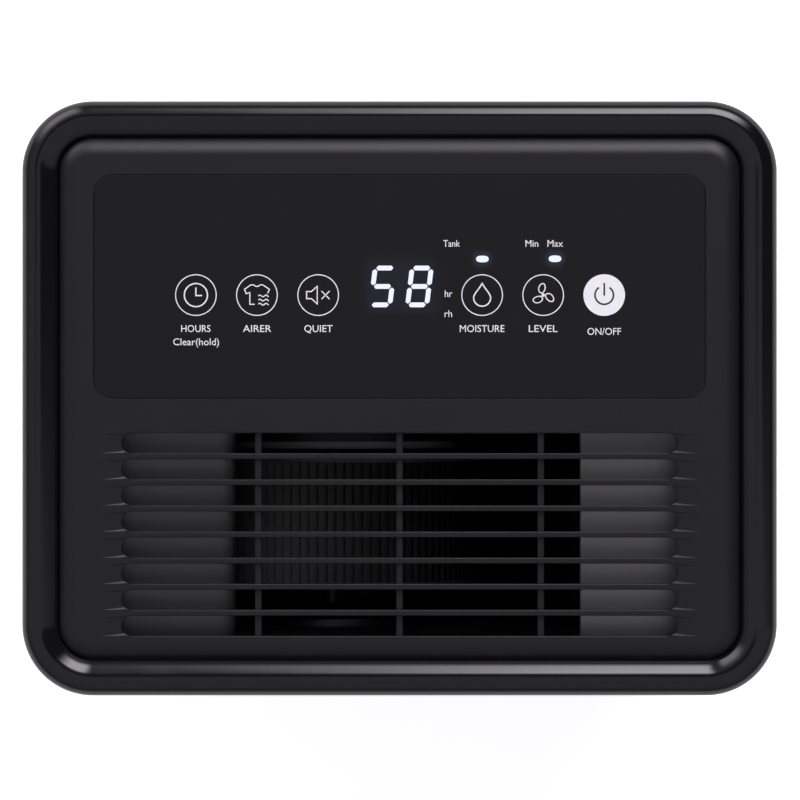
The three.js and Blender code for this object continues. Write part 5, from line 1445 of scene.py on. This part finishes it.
def tankLid():
    v = tankValues
    high = boxOf("tank_lid")[1]
    under = high.z - v["lid"]
    bucketLow = boxOf("water_tank")[0]
    plate = prism("tankCover", bucketOutline(0), "z", (under, high.z))
    inset = v["wall"] + 0.4
    skirt = prism("skirt", bucketOutline(-inset), "z", (under - 4.6, under + 1))
    carve(skirt, [prism("hollow", bucketOutline(-inset - 1.8), "z", (under - 6, under + 0.5))])
    carve(skirt, [blockOf("cupGap", (-53, 53), (bucketLow.y - 4, bucketLow.y + 26), (under - 7, under))])
    px, py, pz = v["pivot"]
    lugs = [blockOf("lug", (px + side * 7 - 1.2, px + side * 7 + 1.2), around(py, 4.5),
                    (pz - 5, under + 0.5)) for side in (-1, 1)]
    carve(plate, [skirt, *lugs], "UNION")
    fx, fy, wide = v["funnel"]
    sx, across, deep = v["spout"]
    middle = (boxOf("water_tank")[0].y + boxOf("water_tank")[1].y) / 2
    spoutY = (boxOf("tank_front")[0].y + boxOf("water_tank")[1].y) / 2
    carve(plate, [prism("funnel", roundedRect(around(fx, wide / 2), around(fy, wide / 2), 8, 10), "z",
                        grown(under, high.z, 1)),
                  prism("spout", roundedRect(around(sx, across / 2), around(spoutY, deep / 2), 8, 10), "z",
                        grown(under, high.z, 1)),
                  rod("pins", "x", v["pivot"], 2.2, around(px, 10), 28),
                  prism("panelA", roundedRect((-40, 40), (middle + 2, middle + 44), 5, 8), "z",
                        (high.z - 0.5, high.z + 1))])
    finished(plate, "tank_lid", 0.35)


def floatPiece():
    v = tankValues
    low, high = boxOf("float")
    px, py, pz = v["pivot"]
    top = pz - 8
    rear = py - 20
    levels = [(1.6, low.z), (0.5, low.z + 0.5), (0, low.z + 1.6),
              (0, top - 1.6), (0.5, top - 0.5), (1.6, top)]
    body = loft("floatLever", [
        rectAt(grown(low.x, high.x, -s), grown(low.y, rear, -s), 8 - s * 0.5, z, 10) for s, z in levels])
    arm = blockOf("arm", around(px, 3), (rear - 6, py), (top - 4, top - 0.05))
    rise = blockOf("rise", around(px, 3), around(py, 3), (pz - 12, pz))
    pin = rod("pin", "x", v["pivot"], 1.6, around(px, 8), 28)
    eye = rod("eye", "x", v["pivot"], 3.35, around(px, 2.98), 36)
    carve(body, [arm, rise, pin, eye], "UNION")
    carve(body, [blockOf("seat", around(px, 4), (py + 2.4, py + 4), (pz - 12.5, pz - 5)),
                 blockOf("dimple", around(px, 8), (low.y + 14, low.y + 24), (top - 0.6, top + 1))])
    finished(body, "float", 0.35)


def drainStopper():
    low, high = boxOf("drain_plug")
    middle = middleOf("drain_plug")
    end = boxOf("drip_tray")[1].y
    profile = [(0.01, low.y), (3.4, low.y), (4.0, low.y + 0.6), (4.6, low.y + 4), (4.7, end - 3.2),
               (4.3, end - 2.6), (4.7, end - 2.0), (4.7, end + 0.4), (8.6, end + 0.4), (9.0, end + 0.8),
               (9.0, end + 3.4), (8.5, end + 4.0), (7.2, end + 4.7), (6.0, end + 5.0), (0.01, end + 5.0)]
    plug = turned("drainStopper", profile, "y", middle, 64)
    tab = prism("tab", roundedRect(around(middle.x, 2.5), around(middle.z, 6), 2.0, 8), "y",
                (end + 4, high.y))
    carve(plug, [tab], "UNION")
    finished(plug, "drain_plug", 0.4, 3)


tankFront()
waterTank()
levelWindow()
tankLid()
floatPiece()
drainStopper()
for node, edge in (("float_magnet", 0.4), ("float_sensor", 0.35), ("tank_bay", 0.4), ("bulkhead", 0.3),
                   ("drip_tray", 0.35)):
    refined(node, edge)
print("water parts made")


# ---- cold side: finned coils with return bends, compressor, accumulator and copper pipes

coolValues = {
    "fins": 94, "fin": 0.25, "wave": 0.45, "waves": 6, "endPlate": 1.9, "endX": 106.0, "tube": 4.5,
    "passes": 3, "sleeve": 5.2, "canWeld": 150.0, "canRadius": 44.0, "vesselRadius": 17, "footReach": 51.0,
    "footHole": 4.0, "pipe": 4.0, "capillary": 1.6, "riserX": 128.0,
}


def coil(node):
    v = coolValues
    low, high = boxOf(node)
    end, middle = v["endX"], (low.y + high.y) / 2
    pitch = (high.z - low.z) / v["passes"]
    passes = [low.z + pitch * (i + 0.5) for i in range(v["passes"])]
    count = v["waves"] * 2
    sheet = [(v["wave"] * (1 if i % 2 else -1), low.y + 0.3 + (high.y - low.y - 0.6) * i / count)
             for i in range(count + 1)]
    outline = [(x - v["fin"] / 2, y) for x, y in sheet] + [(x + v["fin"] / 2, y) for x, y in sheet[::-1]]
    fin = prism("fin", outline, "z", grown(low.z, high.z, -0.5))
    step = (2 * end - 4) / (v["fins"] - 1)
    fins = repeated(node + "Fins", fin, [((-end + 2 + i * step, 0, 0), *upright) for i in range(v["fins"])],
                    "fin_aluminium", 0.0008, 11)
    plates = []
    for side in (-1, 1):
        x = side * end
        outer = sorted(around(x, v["endPlate"] / 2))
        flange = sorted((x - side * 0.4, x - side * 7.0))
        plates.append(blockOf("endPlate", outer, (low.y, high.y), (low.z, high.z)))
        for z in ((low.z, low.z + 1.0), (high.z - 1.0, high.z)):
            plates.append(blockOf("flange", flange, grown(low.y, high.y, -0.2), z))
    finished(combined(node + "Block", [fins, *plates]), node)
    pipes = [rod("pass", "x", (0, middle, z), v["tube"] - 0.15, (-end - 3, end + 3), 24) for z in passes]
    for i in range(v["passes"] - 1):
        side = 1 if i % 2 == 0 else -1
        a, b = passes[i], passes[i + 1]
        reach = high.x - v["tube"]
        pipes.append(tube("bend", [(side * (end + 2), middle, a), (side * (reach - 3.2), middle, a + 1.6),
                                   (side * reach, middle, a + 11), (side * reach, middle, b - 11),
                                   (side * (reach - 3.2), middle, b - 1.6), (side * (end + 2), middle, b)],
                          v["tube"] - 0.1, 20, 12))
    collar = [(v["tube"] - 0.3, 0.9), (v["sleeve"], 0.9), (v["sleeve"] - 0.5, 2.2), (v["tube"] - 0.3, 3.0)]
    for side in (-1, 1):
        pipes += [turned("collar", [(r, side * (end + a)) for r, a in collar], "x", (0, middle, z), 28, True)
                  for z in passes]
    finished(combined(node + "Tubes", pipes), slotName="copper")


def compressorCan():
    v = coolValues
    low, high = boxOf("compressor")
    middle = middleOf("compressor_grommet_3").x, middleOf("condenser").y
    centre = (middle[0], high.y - v["canRadius"], 0)
    r, bottom, top, weld = v["canRadius"], low.z, high.z - 8, v["canWeld"]
    can = turned("can", [
        (0.01, bottom), (30, bottom), *arcPoints((r - 10.8, bottom + 14), 10, 270, 360, 8),
        (r - 0.8, weld - 3), (r - 0.5, weld - 2.4), (r, weld - 1.2), (r, weld + 0.6), (r - 0.5, weld + 1.6),
        (r - 0.5, top - 20), *arcPoints((r - 18.5, top - 20), 18, 6, 80, 10), (16, top - 0.6), (0.01, top)],
        "z", centre, 96)
    things = [can]
    for angle in (30, 150, 270):
        plate = prism("foot", roundedRect((26, v["footReach"] + 9), (-12, 12), 6, 8), "z",
                      (bottom, bottom + 3))
        carve(plate, [rod("hole", "z", (v["footReach"], 0, 0), v["footHole"], (bottom - 1, bottom + 4), 28)])
        bolt = turned("bolt", [(0.01, bottom - 1), (5.4, bottom - 1), (5.4, bottom - 0.2),
                               (3.2, bottom + 0.2), (3.2, bottom + 6.4), (2.9, bottom + 6.8),
                               (0.01, bottom + 6.8)], "z", (v["footReach"], 0, 0), 24)
        nut = turned("nut", [(0.01, bottom + 3), (5.6, bottom + 3), (5.8, bottom + 3.3), (5.8, bottom + 5.2),
                             (5.2, bottom + 5.8), (0.01, bottom + 5.8)],
                     "z", (v["footReach"], 0, 0), 6)
        for thing in (plate, bolt, nut):
            thing.data.transform(
                Matrix.Translation(Vector(centre) * mm) @ Matrix.Rotation(math.radians(angle), 4, "Z"))
        things += [plate, bolt, nut]
    across, deep = around(centre[0], 15), (centre[1] - 25, centre[1] - 3)
    levels = [(0, top - 4), (0, top + 5.6), (0.6, top + 7.2), (2.2, top + 8)]
    things.append(loft("terminals", [
        rectAt(grown(*across, -s), grown(*deep, -s), 4, z, 8) for s, z in levels]))
    finished(combined("compressorShell", things), "compressor", sharp=34)
    return centre, top


def grommets():
    for node in ("compressor_grommet_1", "compressor_grommet_2", "compressor_grommet_3"):
        low, high = boxOf(node)
        middle = middleOf(node)
        profile = [(3.4, low.z), (9.4, low.z), (10.0, low.z + 0.6), (10.0, high.z - 8.2), (9.3, high.z - 7.6),
                   (7.6, high.z - 6.6), (7.6, high.z - 5.6), (9.3, high.z - 4.6), (10.0, high.z - 4.0),
                   (10.0, high.z - 0.6), (9.4, high.z), (3.4, high.z)]
        reach = min(10.0, (high.y - low.y) / 2)
        finished(turned(node + "Foot", [(min(r, reach), z) for r, z in profile], "z", middle, 48, True), node)


def brazed(name, path, radius, node, more=()):
    # a smooth pipe with a short brazed sleeve at each end
    things = [tube("pipe", path, radius, 18, 12), *more]
    for a, b in ((path[0], path[1]), (path[-1], path[-2])):
        way = (Vector(b) - Vector(a)).normalized()
        ends = [tuple(Vector(a) + way * s) for s in (1.6, 5.0, 8.4)]
        things.append(tube("sleeve", ends, radius + 0.7, 18, 3))
    finished(combined(name, things), node)


def pipes(centre, top):
    v = coolValues
    r = v["pipe"]
    low, high = boxOf("accumulator")
    wide = v["vesselRadius"]
    ax, ay = high.x - wide, centre[1]
    foot = low.z + 17.6
    body = turned("vessel", [
        (0.01, foot), (4.6, foot), (5, foot + 0.1), *arcPoints((5, foot + 12), 12, 274, 360, 9),
        (wide, foot + 40), (wide - 0.4, foot + 40.6), (wide - 0.4, foot + 42.4), (wide, foot + 43),
        *arcPoints((5, high.z - 12), 12, 0, 86, 9), (0.01, high.z)], "z", (ax, ay, 0), 56)
    elbow = [(ax, ay, foot + 3), (ax, ay, foot - 10), (ax - 8, ay, foot - 14),
             (centre[0] + 44.8, ay, foot - 14)]
    brazed("accumulatorVessel", elbow, r, "accumulator", [body])
    trayFoot = boxOf("bulkhead")[0].z
    coilLow, coilHigh = boxOf("evaporator")
    passZ = coilHigh.z - (coilHigh.z - coilLow.z) / 6
    bend, side = trayFoot - 12, v["riserX"]

    def riser(start, y):
        return [*start, (side - 22, y, bend), (side - 4, y, bend + 2), (side, y, bend + 10),
                (side, y, passZ - 14), (side - 3, y, passZ - 3), (v["endX"] + 9.4, y, passZ),
                (v["endX"] + 3.4, y, passZ)]
    cold, hot = middleOf("evaporator").y, middleOf("condenser").y
    brazed("suctionPipe", riser([(ax, ay, high.z + 0.4), (ax, ay, high.z + 14),
                                 (ax + 12, ay + 8, high.z + 34)], cold), r, "suction_pipe")
    brazed("dischargePipe", riser([(centre[0] + 22, ay + 6, top - 1), (centre[0] + 22, ay + 6, top + 8),
                                   (centre[0] + 34, ay + 2, top + 16)], hot),
           r, "discharge_pipe")
    z = coilLow.z + (coilHigh.z - coilLow.z) / 6
    x = -v["endX"] - 3.4
    path = [(x, hot, z), (x - 8, hot, z), (-side + 4, (hot + cold) / 2, z - 8), (x - 8, cold, z),
            (x, cold, z)]
    finished(tube("capillary", path, v["capillary"], 14, 12), "capillary_tube")


coil("evaporator")
coil("condenser")
compressorCentre, compressorTop = compressorCan()
grommets()
pipes(compressorCentre, compressorTop)
print("cold side made")


# ---- electrics: boards with their parts, control box, run capacitor, humidity sensor

boardValues = {"partSeed": 5, "small": 42, "connectorHeight": 8.0, "capRadius": 16.0, "capHeight": 64.0}


def mainBoard():
    v = boardValues
    low, high = boxOf("main_board")
    back, front = high.y, high.y - 1.6
    board = prism("mainCircuit", roundedRect((low.x, high.x), (low.z, high.z), 1.5, 5), "y", (front, back))
    corners = [(x, z) for x in grown(low.x, high.x, -3.5) for z in grown(low.z, high.z, -3.5)]
    carve(board, [rod("hole", "y", (x, 0, z), 1.5, grown(front, back, 1), 20) for x, z in corners])
    finished(board, "main_board", 0.12, 1)
    black = [prism("relay", roundedRect((low.x + 4, low.x + 16), (low.z + 8, low.z + 28), 0.8, 3), "y",
                   (high.y - 17, front)),
             prism("supply", roundedRect((low.x + 20, high.x - 4), (low.z + 10, low.z + 44), 1.2, 3), "y",
                   (low.y, front)),
             prism("chip", roundedRect((low.x + 8, low.x + 22), (low.z + 74, low.z + 88), 0.4, 2), "y",
                   (front - 1.8, front))]
    cap = (low.x + 14, 0, high.z - 24)
    black.append(turned("electrolytic", [(0.01, front), (9, front), (9, front - 2.2), (8.5, front - 2.7),
                                         (8.5, front - 3.1), (9, front - 3.6), (9, low.y + 0.9),
                                         (8.2, low.y + 0.1), (7.2, low.y), (7.0, low.y + 0.4),
                                         (0.01, low.y + 0.4)], "y", cap, 48))
    finished(combined("mainBoardParts", black), slotName="inner_black", edge=0.25, segments=1, limit=50)
    sockets = []
    for i in range(3):
        z = low.z + 104 + i * 20
        deep = (front - v["connectorHeight"], front)
        body = blockOf("socket", (high.x - 11, high.x - 4), deep, (z, z + 15))
        carve(body, [blockOf("hollow", (high.x - 10, high.x - 5), (front - 9, front - 1.4), (z + 1, z + 14))])
        sockets.append(body)
    finished(combined("boardSockets", sockets), slotName="white_plastic", edge=0.2, segments=1, limit=50)
    small = blockOf("smallPart", (-0.8, 0.8), (-0.9, 0), (-1.6, 1.6))
    places = []
    for i in range(v["small"]):
        column, row = i % 6, i // 6
        places.append(((low.x + 6 + column * 4.4, front, low.z + 96 + row * 8.5), (0, 90 * ((i * 7) % 2), 0),
                       (1, 1 + 0.5 * (i % 3), 0.7 + 0.2 * (i % 2))))
    finished(repeated("smallParts", small, places, "bright_steel", 0.02, v["partSeed"]),
             slotName="bright_steel")


def controlBox():
    low, high = boxOf("control_box")
    box = prism("electricsBox", roundedRect((low.x, high.x), (low.y, high.y), 4, 8), "z", (low.z, high.z))
    carve(box, [blockOf("cavity", grown(low.x, high.x, -2.5), (low.y - 1, high.y - 2.5),
                        grown(low.z, high.z, -2.5))])
    finished(box, "control_box", 0.5)


def runCapacitor():
    low, high = boxOf("motor_capacitor")
    middle = middleOf("motor_capacitor")
    r, top = boardValues["capRadius"], low.z + boardValues["capHeight"]
    can = turned("capacitorCan", [(0.01, low.z), (r - 1.2, low.z), (r, low.z + 1.2), (r, top - 6),
                                  (r - 0.5, top - 5), (r - 0.5, top - 3.6), (r, top - 2.6), (r, top - 0.8),
                                  (r - 0.7, top), (r - 1.6, top - 0.1), (r - 1.9, top - 1.2), (4, top - 1.2),
                                  (3.6, top - 0.6), (0.01, top - 0.6)],
                 "z", middle, 64)
    finished(can, "motor_capacitor")
    blade = prism("blade", [(-3, top - 1.5), (3, top - 1.5), (3, high.z - 1.2), (1.8, high.z), (-1.8, high.z),
                            (-3, high.z - 1.2)], "x", (-0.4, 0.4))
    places = [((middle.x + x, middle.y, 0), *upright) for x in (-6.0, 6.0)]
    finished(repeated("capacitorBlades", blade, places, "bright_steel"), slotName="bright_steel", edge=0.1,
             segments=1, limit=32)


def humiditySensor():
    low, high = boxOf("humidity_sensor")
    middle = middleOf("humidity_sensor")
    case = prism("sensorCase", roundedRect((low.x, high.x), (low.z, high.z), 3, 8), "y", (low.y, high.y))
    carve(case, [prism("vent", roundedRect(around(middle.x, 5), around(middle.z + dz, 1.2), 1.1, 5), "y",
                       (low.y + 4, high.y + 1)) for dz in (-6, 0, 6)])
    finished(case, "humidity_sensor", 0.4, 3)


def displayBoard():
    top = boxOf("display_board")[1].z
    refined("display_board", 0.15)
    key = turned("key", [(0.01, 0), (3.4, 0), (3.4, 3.2), (1.8, 3.2), (1.8, 4.4), (0.01, 4.4)], "z",
                 (0, 0, 0), 20)
    places = [((x, 34, top), *upright) for x in (-86, -60, -34, 35, 61, 86)]
    finished(repeated("keySwitches", key, places, "inner_black"), slotName="inner_black")
    refined("digit_display", 0.2)


def shaftParts():
    low, high = boxOf("fan_shaft")
    r = (high.x - low.x) / 2
    shaft = turned("motorShaft", [(0.01, low.y), (r - 0.5, low.y), (r, low.y + 0.5), (r, high.y - 0.6),
                                  (r - 0.5, high.y), (0.01, high.y)],
                   "y", middleOf("fan_shaft"), 36)
    carve(shaft, [blockOf("flat", (-60, 0), (high.y - 12, high.y + 1),
                          (middleOf("fan_shaft").z + r - 0.6, middleOf("fan_shaft").z + 10))])
    finished(shaft, "fan_shaft", 0.1, 1, look=shaftSteel)
    refined("hub_nut", 0.35)


shaftSteel = metal("shaftSteel", (0.12, 0.12, 0.125), 0.5, (1.0, 0.05, 1.0))
mainBoard()
controlBox()
runCapacitor()
humiditySensor()
displayBoard()
shaftParts()
print("electrics made")


# ---- floor, light and camera

stageValues = {
    "lens": 200.0, "view": 338.0, "aim": (0.18, -0.70), "key": 7.6, "rearLeft": 2.9, "soft": 0.42,
    "right": 0.03, "floor": 0.30, "gloss": 0.5, "tint": (1.0, 0.965, 1.045), "floorGlow": 0.80,
    "floorReach": 6000,
}


def seenPart(sh, gloss):
    # 1 where a surface is looked at straight or through something, a share of it in reflections
    ray = sh.node("ShaderNodeLightPath").socket.node
    camera, through, glossy = (Sock(sh, ray.outputs["Is " + kind + " Ray"])
                               for kind in ("Camera", "Transmission", "Glossy"))
    return camera.most(through).most(glossy * gloss)


def world():
    # a tall soft box behind on the right, a fainter one behind on the left, a pale room elsewhere
    # and nothing on the right
    v = stageValues
    made = bpy.data.worlds.new("studio")
    scene.world = made
    made.use_nodes = True
    sh = Shader(made.node_tree)
    way = sh.node("ShaderNodeTexCoord", output="Generated")
    x, y, z = sh.parts(way)
    tilt = sh.math("ARCCOSINE", z) * (180 / math.pi)
    turn = sh.math("ARCTAN2", x, y) * (180 / math.pi)         # from +Y towards +X
    key = (sh.smooth(turn, -6.0, 7.0) * sh.smooth(turn, 46.0, 24.0)
           * sh.smooth(tilt, 20.0, 30.0) * sh.smooth(tilt, 74.0, 54.0) * v["key"])
    rearLeft = (sh.smooth(turn, -66.0, -40.0) * sh.smooth(turn, -11.0, -22.0)
                * sh.smooth(tilt, 30.0, 60.0) * sh.smooth(tilt, 104.0, 72.0) * v["rearLeft"])
    right = sh.smooth(turn, 40.0, 50.0) * sh.smooth(turn, 99.0, 86.0) * sh.smooth(tilt, 3.0, 14.0)
    gap = sh.smooth(abs(turn), 100.0, 70.0) * sh.smooth(tilt, 7.0, 13.0) * sh.smooth(tilt, 30.0, 20.0)
    soft = sh.smooth(tilt, 100.0, 45.0, (0.35, 1.0)) * (1.0 - gap * 0.75) * v["soft"]
    room = soft * (1.0 - right) + right * v["right"]
    light = key + rearLeft + room
    studio = sh.node("ShaderNodeBackground", None, {"Color": v["tint"], "Strength": light})
    white = sh.node("ShaderNodeBackground", None, {"Color": (1.0, 1.0, 1.0), "Strength": 1.0})
    seen = seenPart(sh, sh.smooth(tilt, 84.0, 91.0) * v["gloss"])         # reflections at the skyline only
    both = sh.node("ShaderNodeMixShader", None, {0: seen, 1: studio, 2: white})
    sh.node("ShaderNodeOutputWorld", None, {"Surface": both})


def floor():
    v = stageValues
    made, sh = material("paleFloor")
    spot = sh.place()
    grain = sh.noise(spot, 5.0, 3.0, 0.6)
    tone = sh.mix(sh.noise(spot, 300.0, 2.0, 0.5), (0.80, 0.80, 0.80), (0.83, 0.83, 0.83))
    seen = seenPart(sh, v["gloss"])
    dim, reach = v["floor"], v["floorReach"]
    plain = sh.node("ShaderNodeBsdfPrincipled", None, {
        "Base Color": sh.mix(seen, (dim, dim, dim), tone), "Roughness": 0.8, "Specular IOR Level": 0.1,
        "Normal": sh.bump(grain, 0.02, 0.3)})
    glow = sh.node("ShaderNodeEmission", None, {"Color": (1.0, 1.0, 1.0), "Strength": v["floorGlow"]})
    lit = sh.node("ShaderNodeAddShader", None, {0: plain, 1: glow})
    sh.node("ShaderNodeOutputMaterial", None,
            {"Surface": sh.node("ShaderNodeMixShader", None, {0: seen, 1: plain, 2: lit})})
    thing = makeObject("paleFloor", [(-reach, -reach, 0), (reach, -reach, 0), (reach, reach, 0),
                                     (-reach, reach, 0)], [(0, 1, 2, 3)])
    thing.data.materials.append(made)


def camera():
    low, high = boxOf("top_rim")
    lens = bpy.data.cameras.new("overhead")
    lens.lens = stageValues["lens"]
    lens.sensor_width = 36.0
    away = stageValues["view"] / 2 / (18.0 / stageValues["lens"])
    made = bpy.data.objects.new("overhead", lens)
    aimX, aimY = stageValues["aim"]
    made.location = (((low.x + high.x) / 2 + aimX) * mm, ((low.y + high.y) / 2 + aimY) * mm,
                     (high.z + away) * mm)
    scene.collection.objects.link(made)
    scene.camera = made


world()
floor()
camera()
scene.view_settings.view_transform = "Standard"
print("scene ready")
